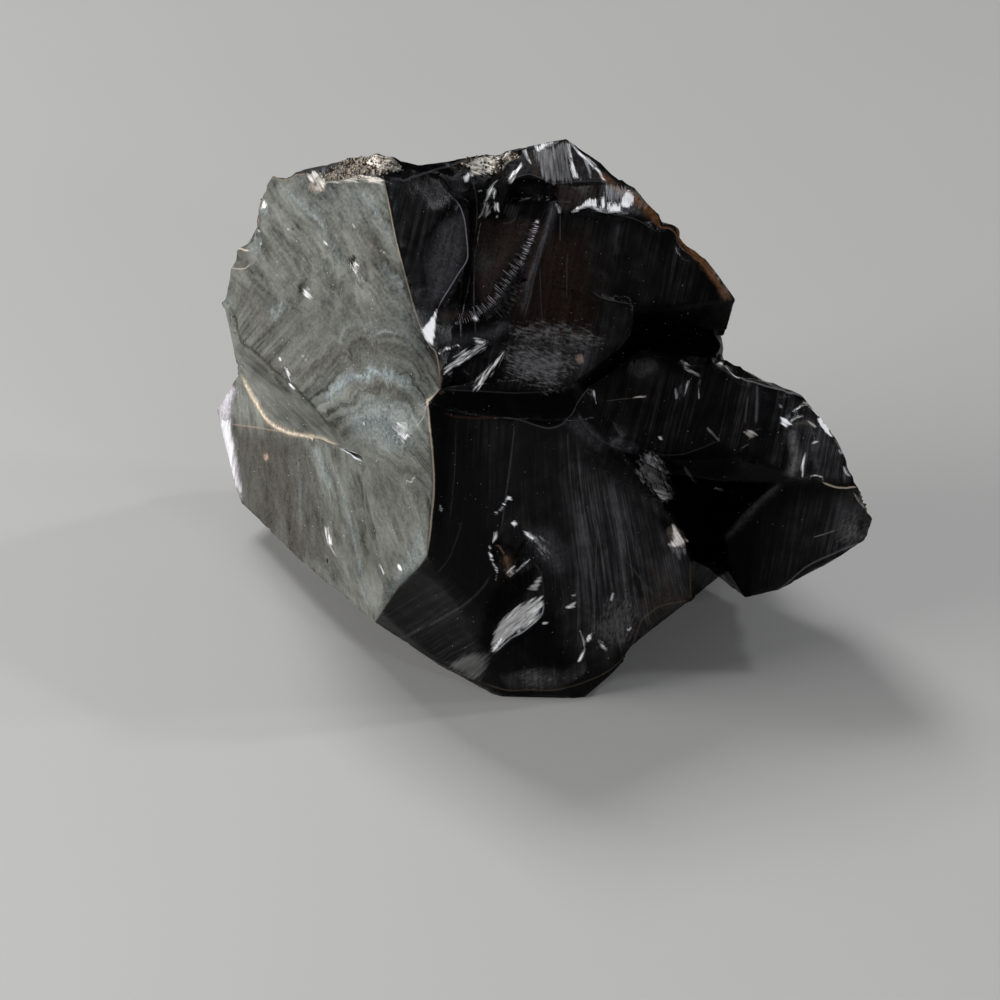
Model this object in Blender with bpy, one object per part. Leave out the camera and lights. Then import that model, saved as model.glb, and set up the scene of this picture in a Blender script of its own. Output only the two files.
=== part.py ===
"""Obsidian chunk: one solid, broken piece of volcanic glass.

Sizes are millimetres and are turned into metres on the way in. +Z is up and the long side
runs along X. The chunk stands on a flat facet at z = 0, with the origin inside that facet.

The stone is a set of overlapping lumps, each the hull of its corners, joined into one solid.
Curved scars are then broken out of them with balls that may be stretched along one direction,
and everything below the base is cut off flat.
"""

from math import cos, radians, sin, sqrt

import bmesh
import bpy
from mathutils import Matrix, Vector

MM = 0.001
FACET_EDGE = 2.3  # longest side of a scar's triangles
FINEST_EDGE = 0.8  # shortest one, for the smallest chips
FLOOR_BLOCK = 160.0  # side of the block that cuts the base flat

# Corners of each lump. The core, the two back lumps and the lower corners of the others lie
# inside or behind, and the rest lie on the ridges between the facets.
LUMPS = {
    "core": [
        (-39.0, 22.0, 14.0), (-33.0, 27.0, 20.0), (-10.0, 31.0, 26.0), (12.0, 28.0, 22.0),
        (26.0, 17.0, 18.0), (29.0, 10.0, 16.0), (-33.0, 25.0, -3.0), (-10.0, 32.0, -3.0),
        (12.0, 30.0, -3.0), (27.0, 16.0, -3.0), (22.0, 8.0, -3.0), (7.0, -15.0, -3.0),
        (-6.0, -16.0, -3.0), (-20.0, 2.0, -3.0), (-34.0, 16.0, -3.0), (-40.0, 24.0, 3.0),
        (-18.0, -8.0, 36.0), (4.0, -6.0, 38.0),
    ],
    "back_left": [
        (-38.7, 6.5, 64.2), (-34.8, 5.5, 65.8), (-28.7, 3.9, 68.3), (-24.4, 2.5, 70.1),
        (-20.9, 1.4, 68.7), (-17.8, 1.4, 69.0), (-43.2, 5.0, 53.9), (-44.6, 2.2, 46.9),
        (-43.2, 19.0, 26.0), (-43.0, 25.0, 13.0), (-37.0, 31.0, 20.0), (-10.0, 36.0, 27.0),
        (-2.0, 28.0, 28.0), (-36.0, 28.0, -3.0), (-10.0, 36.0, -3.0), (-2.0, 28.0, -3.0),
        (-20.0, 2.0, 34.0), (-4.0, 4.0, 30.0), (0.0, 8.0, 40.0),
    ],
    "back_right": [
        (-17.8, 1.4, 69.0), (-10.5, 2.9, 70.4), (1.0, 4.8, 72.7), (9.2, 5.0, 66.7),
        (13.5, 5.5, 62.0), (19.7, 5.8, 56.0), (22.5, 5.2, 50.6), (22.6, 4.1, 45.0),
        (-18.0, 28.0, 28.0), (-10.0, 36.0, 27.0), (14.0, 33.0, 25.0), (24.0, 22.0, 20.0),
        (29.0, 17.0, 10.0), (-18.0, 28.0, -3.0), (-10.0, 36.0, -3.0), (12.0, 33.0, -3.0),
        (28.0, 17.0, -3.0), (4.0, 4.0, 36.0), (18.0, 8.0, 32.0), (-6.0, 6.0, 50.0),
    ],
    "crown_left": [
        (-38.6, 6.1, 64.6), (-28.5, 1.4, 69.7), (-24.3, -1.1, 71.8), (-23.0, -4.1, 69.8),
        (-21.1, -9.4, 63.6), (-18.4, -15.2, 57.0), (-15.6, -19.0, 53.2), (-14.4, -21.8, 50.6),
        (-14.2, -24.3, 49.6), (-20.7, -1.9, 70.4), (-17.1, -0.1, 70.0), (-14.0, -1.4, 66.6),
        (-13.1, -2.6, 65.8), (-11.8, -5.5, 62.1), (-11.6, -6.8, 60.4), (-13.4, -11.0, 58.0),
        (-15.2, -15.5, 55.8), (-15.5, -18.8, 53.0), (-9.2, 3.0, 64.6), (-8.1, -0.8, 58.4),
        (-9.1, -6.1, 53.4), (-11.0, -12.4, 49.9), (-12.6, -18.2, 47.6), (-43.1, 4.4, 54.1),
        (-44.8, 1.4, 47.3), (-42.7, -4.4, 44.1), (-42.1, -5.2, 45.1), (-34.7, -13.0, 43.0),
        (-29.0, -17.7, 38.9), (-24.8, -20.4, 36.1), (-27.2, -14.6, 44.2), (-23.1, -17.4, 47.0),
        (-19.0, -21.8, 47.7), (-18.7, -27.6, 44.9), (-24.0, -22.4, 42.5), (-43.9, 18.0, 28.2),
        (-38.9, 9.2, 25.6), (-28.5, -8.0, 33.0), (-34.0, 17.0, 44.0), (-12.0, 13.0, 50.0),
        (-10.0, 6.0, 36.0),
    ],
    "crown_upper": [
        (0.1, -2.1, 66.6), (-0.9, -4.1, 63.4), (-3.1, -9.1, 58.3), (6.8, -6.1, 54.5),
        (11.0, -4.4, 53.1), (25.2, 4.7, 49.6), (20.0, 5.2, 56.6), (13.5, 4.7, 62.4),
        (11.5, 3.0, 62.0), (4.6, 0.0, 65.2), (-8.1, -0.8, 58.4), (-9.2, 2.5, 63.5),
        (0.5, 0.3, 66.8), (5.9, 2.5, 66.0), (11.4, 5.0, 63.1), (12.4, 0.0, 44.4),
        (24.2, 5.5, 43.6), (0.0, 16.0, 48.0), (19.0, 11.0, 42.0), (-8.0, 10.0, 44.0),
        (10.0, 10.0, 36.0),
    ],
    "crown_lower": [
        (-3.1, -9.1, 58.3), (-4.4, -13.2, 53.6), (-6.0, -15.5, 50.9), (-9.8, -20.0, 47.2),
        (1.6, -14.4, 44.5), (4.5, -12.1, 46.3), (8.1, -8.6, 47.2), (9.7, -7.2, 48.5),
        (10.8, -5.5, 50.7), (11.0, -4.4, 53.1), (6.8, -6.1, 54.5), (-9.1, -6.1, 53.4),
        (-11.0, -12.4, 49.9), (-12.6, -18.5, 47.0), (-6.0, 0.0, 36.0), (10.0, 2.0, 38.0),
        (0.0, 10.0, 50.0),
    ],
    "top_fan": [
        (-10.5, 2.2, 70.9), (-5.1, 3.3, 71.8), (1.0, 4.4, 72.9), (5.8, 4.1, 68.7),
        (9.5, 3.9, 67.1), (3.1, 0.8, 68.4), (-1.6, -0.6, 69.0), (-4.5, 0.0, 69.7),
        (-6.3, 0.0, 68.5), (-8.0, 11.0, 54.0), (8.0, 11.0, 54.0), (0.0, 13.0, 50.0),
    ],
    "top_step": [
        (-0.2, 0.8, 69.0), (9.2, 4.7, 67.4), (11.6, 3.6, 61.8), (13.5, 4.7, 62.4),
        (6.6, -0.6, 64.5), (4.6, -0.6, 65.6), (2.7, -1.1, 65.3), (0.6, -2.2, 64.9),
        (-6.3, 1.7, 67.7), (-0.6, -1.1, 66.4), (-6.0, 10.0, 50.0), (10.0, 11.0, 50.0),
        (2.0, 13.0, 46.0),
    ],
    "hollow_floor": [
        (-11.6, 2.2, 64.2), (-7.5, 3.0, 63.3), (-1.0, -1.4, 63.2), (-2.8, -7.2, 57.3),
        (-5.6, -14.4, 50.4), (-9.4, -18.8, 47.1), (-12.3, -18.8, 47.2), (-14.6, -17.4, 52.3),
        (-12.6, -10.5, 55.6), (-11.1, -4.7, 58.4), (-8.0, 6.0, 40.0), (-6.0, 12.0, 54.0),
    ],
    "top_left": [
        (-20.8, -1.4, 70.2), (-17.1, 0.0, 70.0), (-10.5, 2.3, 70.8), (-5.1, 3.6, 71.6),
        (-6.0, 1.4, 67.9), (-7.5, 0.8, 63.0), (-11.6, -0.3, 65.5), (-13.7, -1.1, 66.6),
        (-16.0, 9.0, 54.0), (-3.0, 11.0, 54.0), (-8.0, 13.0, 46.0),
    ],
    "prow": [
        (-14.1, -25.9, 50.5), (-15.7, -29.3, 49.7), (-15.2, -29.8, 47.1), (-14.6, -30.1, 37.5),
        (-14.7, -30.6, 34.0), (-15.2, -31.3, 28.2), (-17.4, -29.0, 23.6), (-20.8, -25.1, 17.2),
        (-22.4, -18.5, 9.5), (-13.3, -20.0, 3.9), (-7.9, -20.7, 2.0), (-4.0, -20.9, -1.0),
        (6.0, -20.6, -1.0), (13.3, -20.4, 7.1), (21.2, -13.0, 11.4), (20.5, -12.7, 18.0),
        (18.9, -13.0, 22.9), (15.2, -13.8, 27.9), (9.6, -14.6, 31.3), (4.5, -17.2, 38.0),
        (2.1, -18.6, 41.7), (-6.4, -23.5, 48.9), (-11.6, -27.0, 50.0), (-18.6, -28.4, 45.7),
        (-24.8, -20.4, 36.1), (-3.8, -17.7, 47.1), (3.4, -15.5, 46.5), (1.6, -18.8, 45.2),
        (2.0, 4.0, 39.0), (-24.0, 4.0, 30.0), (12.0, 4.0, 4.0), (-18.0, 4.0, 0.0),
        (14.0, 6.0, 28.0),
    ],
    "lobe": [
        (-43.9, 18.2, 27.6), (-47.6, 23.6, 18.4), (-44.3, 21.4, 4.8), (-34.0, 1.9, 6.7),
        (-28.8, -7.0, 9.3), (-25.4, -13.8, 11.3), (-22.4, -18.5, 9.5), (-15.2, -31.3, 28.2),
        (-24.9, -18.6, 35.0), (-27.9, -11.5, 32.7), (-35.6, 2.1, 27.0), (-39.7, 10.4, 25.3),
        (-41.0, 30.0, 19.0), (-38.0, 30.0, 4.0), (-20.0, 20.0, 26.0), (-10.0, 0.0, 30.0),
        (-20.0, 4.0, 2.0),
    ],
    "arm": [
        (24.5, 1.4, 42.2), (26.1, -3.9, 42.6), (29.5, -5.2, 41.8), (34.7, -6.9, 41.1),
        (38.9, -8.3, 36.9), (40.6, -9.1, 33.5), (42.9, -9.8, 29.0), (34.8, -10.9, 30.7),
        (24.0, -10.5, 29.4), (16.8, -11.0, 30.5), (27.2, -8.3, 34.6), (21.1, -8.3, 32.6),
        (14.4, -12.1, 34.5), (7.2, -14.9, 37.5), (2.4, -18.5, 41.9), (3.6, -12.4, 43.5),
        (12.3, -4.1, 45.8), (31.0, 12.0, 26.0), (16.0, 16.0, 30.0), (37.0, 4.0, 27.0),
        (20.0, 6.0, 22.0), (10.0, 4.0, 26.0),
    ],
    "arm_tip": [
        (34.8, -10.9, 30.7), (32.2, -10.5, 29.5), (29.7, -9.8, 26.8), (27.2, -8.7, 23.2),
        (25.4, -7.3, 19.1), (26.2, -6.3, 12.9), (28.9, -5.5, 8.1), (33.4, -6.3, 10.0),
        (36.1, -8.0, 14.3), (40.9, -10.2, 18.6), (44.6, -11.0, 21.2), (45.1, -10.2, 24.4),
        (42.9, -9.8, 29.0), (38.0, 6.0, 14.0), (38.0, 3.0, 26.0), (24.0, 8.0, 22.0),
        (22.0, 14.0, 3.0),
    ],
}

# Scars of each lump: a point on the facet, the compass angle and the slope the scar faces in
# degrees (0 faces -Y and 90 faces +X), the ball's radius, how deep it bites at the point, how
# much longer than wide it is, and the angle of its long side above the horizontal.
SCARS = {
    "crown_left": {
        "dark_strip": ((-17.3, -10.4, 62.0), 36, 42, 100, 0.5, 1.0, 0),
        "left_notch": ((-41.8, 5.0, 57.3), -75, 20, 7, 0.6, 1.6, 80),
        "edge_chip": ((-32.1, 1.2, 65.9), -20, 50, 2, 0.3, 1.4, 10),
        "face_pit": ((-32.5, -7.4, 54.3), -41, 20, 2, 0.3, 1.3, 120),
    },
    "crown_upper": {
        "right_slope": ((11.7, -0.6, 57.4), 37, 27, 120, 0.8, 1.0, 0),
        "plate_notch": ((14.8, 4.8, 61.2), 60, 40, 3.5, 0.8, 1.5, 40),
    },
    "crown_lower": {
        "cloudy_slope": ((2.0, -11.5, 50.0), 34, 27, 80, 0.7, 1.2, 20),
    },
    "prow": {
        "step": ((-5.6, -24.1, 45.2), 60, 55, 200, 0.0, 1.0, 0),
        "prow_underside": ((-13.3, -25.9, 14.9), -20, -25, 90, 0.7, 1.0, 0),
        "prow_front": ((1.6, -22.5, 31.5), 34, 11, 160, 0.7, 1.4, 75),
        "leaf_scar": ((-2.9, -25.7, 14.2), 14, -11, 5, 0.32, 2.5, 47),
        "chip_cluster": ((-3.2, -26.1, 26.5), 24, 4, 6, 0.6, 1.4, 60),
        "right_low": ((8.0, -22.1, 9.5), 14, -11, 16, 0.45, 1.5, 25),
        "low_notch": ((17.1, -16.9, 8.8), 70, -45, 9, 2.2, 1.3, 40),
    },
    "arm": {
        "bowl": ((14.4, -11.7, 42.6), 16, 42, 24, 5.2, 1.0, 0),
        "bowl_ripple": ((22.2, -5.6, 43.6), 23, 67, 14, 0.5, 1.6, -60),
        "arm_tip": ((37.4, -8.3, 37.6), 21, 34, 14, 0.7, 1.5, -40),
    },
    "arm_tip": {
        "arm_front": ((38.9, -10.4, 22.3), -7, -7, 70, 0.6, 1.2, -30),
    },
    "stone": {
        "back_left": ((-24.0, 24.0, 42.0), -163, 40, 58, 1.6, 1.2, -35),
        "back_right": ((16.0, 22.0, 44.0), 152, 40, 48, 2.4, 1.4, -50),
        "back_low": ((-12.0, 36.0, 14.0), 176, -6, 50, 2.0, 1.6, 15),
        "back_middle": ((-2.0, 22.0, 52.0), 180, 45, 40, 1.4, 1.5, 80),
    },
}


def clear_scene():
    for item in list(bpy.data.objects):
        bpy.data.objects.remove(item, do_unlink=True)


def collection(name):
    made = bpy.data.collections.new(name)
    bpy.context.scene.collection.children.link(made)
    return made


def as_object(form, name, home):
    mesh = bpy.data.meshes.new(name)
    form.to_mesh(mesh)
    form.free()
    made = bpy.data.objects.new(name, mesh)
    home.objects.link(made)
    return made


def as_helper(form, name, home):
    made = as_object(form, name, home)
    made.hide_render = True
    made.display_type = "WIRE"
    return made


def hull(corners):
    form = bmesh.new()
    for corner in corners:
        form.verts.new(Vector(corner) * MM)
    made = bmesh.ops.convex_hull(form, input=form.verts)
    inside = [part for part in made["geom_interior"] if isinstance(part, bmesh.types.BMVert)]
    bmesh.ops.delete(form, geom=inside, context="VERTS")
    bmesh.ops.recalc_face_normals(form, faces=form.faces)
    return form


def facing(compass, slope):
    """Unit direction that leaves the stone at this compass angle and slope."""
    turn = radians(compass)
    tilt = radians(slope)
    return Vector((cos(tilt) * sin(turn), -cos(tilt) * cos(turn), sin(tilt)))


def fineness(radius, depth):
    """Icosphere level whose triangles suit the width of the scar that the ball leaves."""
    rim = sqrt(max(2 * radius * depth, 1.0))
    edge = min(FACET_EDGE, max(FINEST_EDGE, rim / 5))
    level = 2
    while level < 7 and radius * 1.1 / 2 ** (level - 1) > edge:
        level += 1
    return level


def ball(centre, out, radius, depth, stretch, roll):
    form = bmesh.new()
    level = fineness(radius, depth)
    bmesh.ops.create_icosphere(form, subdivisions=level, radius=radius * MM)
    turn = out.to_track_quat("Z", "Y").to_matrix().to_4x4()
    longer = Matrix.Rotation(radians(roll), 4, "Z") @ Matrix.Diagonal((stretch, 1, 1, 1))
    place = Matrix.Translation(centre * MM) @ turn @ longer
    bmesh.ops.transform(form, matrix=place, verts=form.verts)
    return form


def block(side):
    """A cube whose top is the plane of the base."""
    form = bmesh.new()
    bmesh.ops.create_cube(form, size=side * MM)
    bmesh.ops.translate(form, verts=form.verts, vec=Vector((0, 0, -side / 2)) * MM)
    return form


def combine(target, other, operation):
    step = target.modifiers.new(other.name, "BOOLEAN")
    step.operation = operation
    step.solver = "EXACT"
    step.object = other


def break_scars(target, scars, home):
    for name, (spot, compass, slope, radius, depth, stretch, roll) in scars.items():
        out = facing(compass, slope)
        centre = Vector(spot) + out * (radius - depth)
        cutter = as_helper(ball(centre, out, radius, depth, stretch, roll), name, home)
        combine(target, cutter, "DIFFERENCE")


def volcanic_glass():
    made = bpy.data.materials.new("black_obsidian")
    made.use_nodes = True
    shader = made.node_tree.nodes["Principled BSDF"]
    shader.inputs["Base Color"].default_value = (0.02, 0.019, 0.02, 1.0)
    shader.inputs["Roughness"].default_value = 0.12
    shader.inputs["Metallic"].default_value = 0.0
    return made


clear_scene()
chunk = collection("obsidian_chunk")
cutters = collection("cutters")

stone = as_object(hull(LUMPS["core"]), "obsidian_chunk", chunk)
for label, corners in LUMPS.items():
    if label == "core":
        continue
    piece = as_helper(hull(corners), label, cutters)
    break_scars(piece, SCARS.get(label, {}), cutters)
    combine(stone, piece, "UNION")
break_scars(stone, SCARS["stone"], cutters)
combine(stone, as_helper(block(FLOOR_BLOCK), "floor_block", cutters), "DIFFERENCE")
stone.data.materials.append(volcanic_glass())
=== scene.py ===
from math import cos, pi, radians, sin

import bmesh
import bpy
import numpy as np
from mathutils import Matrix, Vector, noise
from mathutils.bvhtree import BVHTree
from mathutils.kdtree import KDTree


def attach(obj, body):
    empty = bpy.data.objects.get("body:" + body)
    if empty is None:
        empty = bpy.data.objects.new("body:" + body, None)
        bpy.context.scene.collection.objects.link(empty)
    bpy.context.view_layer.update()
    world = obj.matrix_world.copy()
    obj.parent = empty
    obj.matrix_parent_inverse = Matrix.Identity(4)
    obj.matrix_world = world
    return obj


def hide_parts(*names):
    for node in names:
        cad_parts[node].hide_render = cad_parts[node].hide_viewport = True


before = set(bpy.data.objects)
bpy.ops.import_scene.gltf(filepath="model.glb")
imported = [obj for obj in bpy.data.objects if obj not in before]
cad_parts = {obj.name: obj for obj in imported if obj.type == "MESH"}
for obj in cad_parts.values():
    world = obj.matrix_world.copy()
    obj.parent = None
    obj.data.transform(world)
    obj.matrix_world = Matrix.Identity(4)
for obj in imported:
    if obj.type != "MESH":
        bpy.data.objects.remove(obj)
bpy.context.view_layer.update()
mm = 0.001

# Camera. Surface details below are placed in its 1000 by 1000 frame, x to the right and y down.
viewpoint = {
    "place": (-3.594, -505.054, 311.128),  # mm
    "down": 30.04,  # degrees below level
    "roll": 2.36,
    "lens": 150.0,  # mm, on a sensor as wide as the next value
    "sensor": 36.0,
    "middle": (517.0, 500.0),  # where the line of sight crosses the frame
}
frameWide = 1000.0
frameScale = viewpoint["lens"] / viewpoint["sensor"] * frameWide  # frame units for each unit of slope
frameUnit = 0.138  # mm on the stone that one frame unit covers


def plainObject(name, data):
    made = bpy.data.objects.new(name, data)
    bpy.context.scene.collection.objects.link(made)
    return made


def cameraAxes():
    # directions ahead of the camera, to its right and up
    down, roll = radians(viewpoint["down"]), radians(viewpoint["roll"])
    ahead = np.array([0.0, cos(down), -sin(down)])
    level = np.array([1.0, 0.0, 0.0])
    raised = np.cross(level, ahead)
    across = cos(roll) * level + sin(roll) * raised
    upward = cos(roll) * raised - sin(roll) * level
    return ahead, across, upward


def addCamera():
    ahead, across, upward = cameraAxes()
    data = bpy.data.cameras.new("camera")
    data.lens = viewpoint["lens"]
    data.sensor_width = viewpoint["sensor"]
    data.shift_x = (frameWide / 2 - viewpoint["middle"][0]) / frameWide
    data.clip_start = 0.01
    made = plainObject("camera", data)
    turn = Matrix([across, upward, -ahead]).transposed().to_4x4()
    made.matrix_world = Matrix.Translation(Vector(viewpoint["place"]) * mm) @ turn
    bpy.context.scene.camera = made


def frameOf(points):
    # frame x and y of points given in mm
    ahead, across, upward = cameraAxes()
    away = points - np.array(viewpoint["place"])
    depth = away @ ahead
    x = viewpoint["middle"][0] + frameScale * (away @ across) / depth
    y = viewpoint["middle"][1] - frameScale * (away @ upward) / depth
    return np.column_stack([x, y])


# Small tools for lines and outlines in the frame

def smoothLine(points, steps=6):
    # the line rounded off through its points
    p = np.array(points, float)
    if len(p) < 3:
        return p
    ends = np.vstack([2 * p[0] - p[1], p, 2 * p[-1] - p[-2]])
    made = []
    for i in range(1, len(ends) - 2):
        a, b, c, d = ends[i - 1 : i + 3]
        square, cube = 2 * a - 5 * b + 4 * c - d, 3 * b - a - 3 * c + d
        for t in np.arange(steps) / steps:
            made.append(0.5 * (2 * b + (c - a) * t + square * t**2 + cube * t**3))
    made.append(p[-1])
    return np.array(made)


def lineDistance(spots, line):
    # distance from each spot to the line, and how far along the line it is from 0 to 1
    best = np.full(len(spots), 1e9)
    along = np.zeros(len(spots))
    for i in range(len(line) - 1):
        a, step = line[i], line[i + 1] - line[i]
        t = np.clip(((spots - a) @ step) / max(step @ step, 1e-9), 0, 1)
        d = np.linalg.norm(spots - a - t[:, None] * step, axis=1)
        closer = d < best
        best[closer] = d[closer]
        along[closer] = (i + t[closer]) / (len(line) - 1)
    return best, along


def insideDepth(spots, outline):
    # how far inside the outline each spot is, negative outside it
    ring = np.array(list(outline) + [outline[0]], float)
    away = lineDistance(spots, ring)[0]
    inside = np.zeros(len(spots), bool)
    for (x0, y0), (x1, y1) in zip(ring[:-1], ring[1:]):
        crosses = (spots[:, 1] < y0) != (spots[:, 1] < y1)
        where = x0 + (spots[:, 1] - y0) / (y1 - y0 + 1e-12) * (x1 - x0)
        inside ^= crosses & (spots[:, 0] < where)
    return np.where(inside, away, -away)


def soft(value, low, high):
    # 0 below low, 1 above high, and a smooth rise between them
    t = np.clip((value - low) / (high - low), 0, 1)
    return t * t * (3 - 2 * t)


def roughField(points, size, seed=0, octaves=3):
    # noise between about -1 and 1 whose lumps are about size mm wide
    shift = Vector((seed * 17.3, seed * 5.1, seed * 29.7))
    return np.array([noise.fractal(Vector(p) / size + shift, 0.8, 2.0, octaves) for p in points])


print("tools ready")

# The stone: a finer mesh of the CAD solid, with its small breaks raised in it

stone = {
    "seenEdge": 1.1,  # mm, longest edge on the faces towards the camera
    "hiddenEdge": 1.75,
    "lineEdge": 0.55,  # beside a line or chip
    "drawnEdge": 0.36,  # beside a glint
    "drawnReach": 2.8,  # frame units either side of them that get the fine mesh
    "filledOutline": 34,  # frame units; a glint smaller than this has the fine mesh all over
    "cuts": (16, 8, 4, 2.8, 2.3, 1.8, 1.35, 1.0, 0.72, 0.5, 0.36),  # mm, longest edge after each round
    "sharpAngle": 24.0,  # degrees between faces that keep a crisp ridge
    "waves": (0.14, 9.0),  # mm high and mm wide
    "ripples": (0.05, 2.6),
    "nicks": 240,  # small chips along the ridges
    "nickSize": (0.35, 0.75),  # mm on the ridges in sight
    "nickSizeBehind": (0.8, 2.4),
    "nickAngle": 28.0,  # degrees, the bluntest ridge that is chipped
    "seed": 4,
}


def fineMesh():
    # copy of the CAD mesh, merged, its flat faces joined and cut again evenly
    source = bpy.data.objects["obsidian_chunk"]
    made = bmesh.new()
    made.from_mesh(source.data)
    made.transform(source.matrix_world)
    bmesh.ops.scale(made, vec=(1000, 1000, 1000), verts=made.verts)
    bmesh.ops.remove_doubles(made, verts=made.verts, dist=0.004)
    bmesh.ops.dissolve_limit(made, angle_limit=radians(0.25), verts=made.verts, edges=made.edges)
    bmesh.ops.triangulate(made, faces=made.faces, quad_method="BEAUTY", ngon_method="BEAUTY")
    return made


def coordinates(made):
    return np.array([v.co for v in made.verts])


def edgeEnds(made):
    return np.array([[e.verts[0].index, e.verts[1].index] for e in made.edges])


def seenFrom(tree, points, slack=0.35):
    # which points the camera sees, with the nearest surface between taken as in the way
    place = Vector(viewpoint["place"])
    seen = np.zeros(len(points), bool)
    for i, p in enumerate(points):
        ray = Vector(p) - place
        far = ray.length
        hit = tree.ray_cast(place, ray / far)
        seen[i] = hit[0] is None or (hit[3] > far - slack)
    return seen


def cutEdges(made, tree, drawn):
    # cuts the mesh finer in rounds; drawn holds frame x, y and the longest edge wanted there
    near = KDTree(len(drawn))
    for i, p in enumerate(drawn):
        near.insert((p[0], p[1], 0), i)
    near.balance()
    for longest in stone["cuts"]:
        made.verts.ensure_lookup_table()
        made.verts.index_update()
        points, ends = coordinates(made), edgeEnds(made)
        middles = points[ends].mean(axis=1)
        lengths = np.linalg.norm(points[ends[:, 0]] - points[ends[:, 1]], axis=1)
        limit = np.full(len(ends), float(longest))
        if longest < 2.8:
            picked = np.where(lengths > longest)[0]
            limit[:] = 1e9
            seen = seenFrom(tree, middles[picked])
            spots = frameOf(middles[picked])
            found = [near.find((x, y, 0))[1:] if s else (0, 1e9) for (x, y), s in zip(spots, seen)]
            found = np.array(found)
            index, reach = found[:, 0].astype(int), found[:, 1]
            wanted = np.where(seen, stone["seenEdge"], stone["hiddenEdge"])
            close, beside = reach < stone["drawnReach"], reach < 2 * stone["drawnReach"]
            wanted = np.where(beside, np.minimum(wanted, 2 * drawn[index, 2]), wanted)
            wanted = np.where(close, drawn[index, 2], wanted)
            limit[picked] = np.maximum(wanted, longest)
        chosen = np.where(lengths > limit)[0]
        made.edges.ensure_lookup_table()
        bmesh.ops.subdivide_edges(made, edges=[made.edges[i] for i in chosen], cuts=1)
        manySided = [f for f in made.faces if len(f.verts) > 3]
        bmesh.ops.triangulate(made, faces=manySided, quad_method="SHORT_EDGE")
        if longest > 0.5:
            flat = [e for e in made.edges if len(e.link_faces) == 2 and e.calc_face_angle(0) < 0.02]
            bmesh.ops.beautify_fill(made, faces=made.faces, edges=flat, method="ANGLE")
        print("cut to", longest, "mm:", len(made.faces), "faces")


# Small forms of the faces towards the camera

tints = {
    "pale": (0.78, 0.81, 0.88),
    "cream": (0.72, 0.60, 0.46),
    "rim": (0.26, 0.20, 0.14),
    # lavender paints the highlight on the curved ridge and the sheen on the left bevel
    "lavender": (0.46, 0.43, 0.50),
    "skyGrey": (0.235, 0.275, 0.285),
    "fogPale": (0.20, 0.20, 0.205),
    "fog": (0.105, 0.105, 0.115),
    "mist": (0.05, 0.05, 0.054),
    "brown": (0.026, 0.0155, 0.0115),
    "cocoa": (0.045, 0.032, 0.027),
    "amber": (0.20, 0.125, 0.085),
    "olive": (0.14, 0.13, 0.10),
    "orange": (0.19, 0.086, 0.036),
    "orangeDark": (0.045, 0.018, 0.008),
    "umber": (0.052, 0.047, 0.040),
    # inkBrown and ink are near blacks; most of their uses below are painted shade in hollows, creases, pits
    # and under overhangs
    "inkBrown": (0.008, 0.006, 0.004),
    "ink": (0.0012, 0.0012, 0.0014),
    "rose": (0.55, 0.38, 0.30),
}

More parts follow.
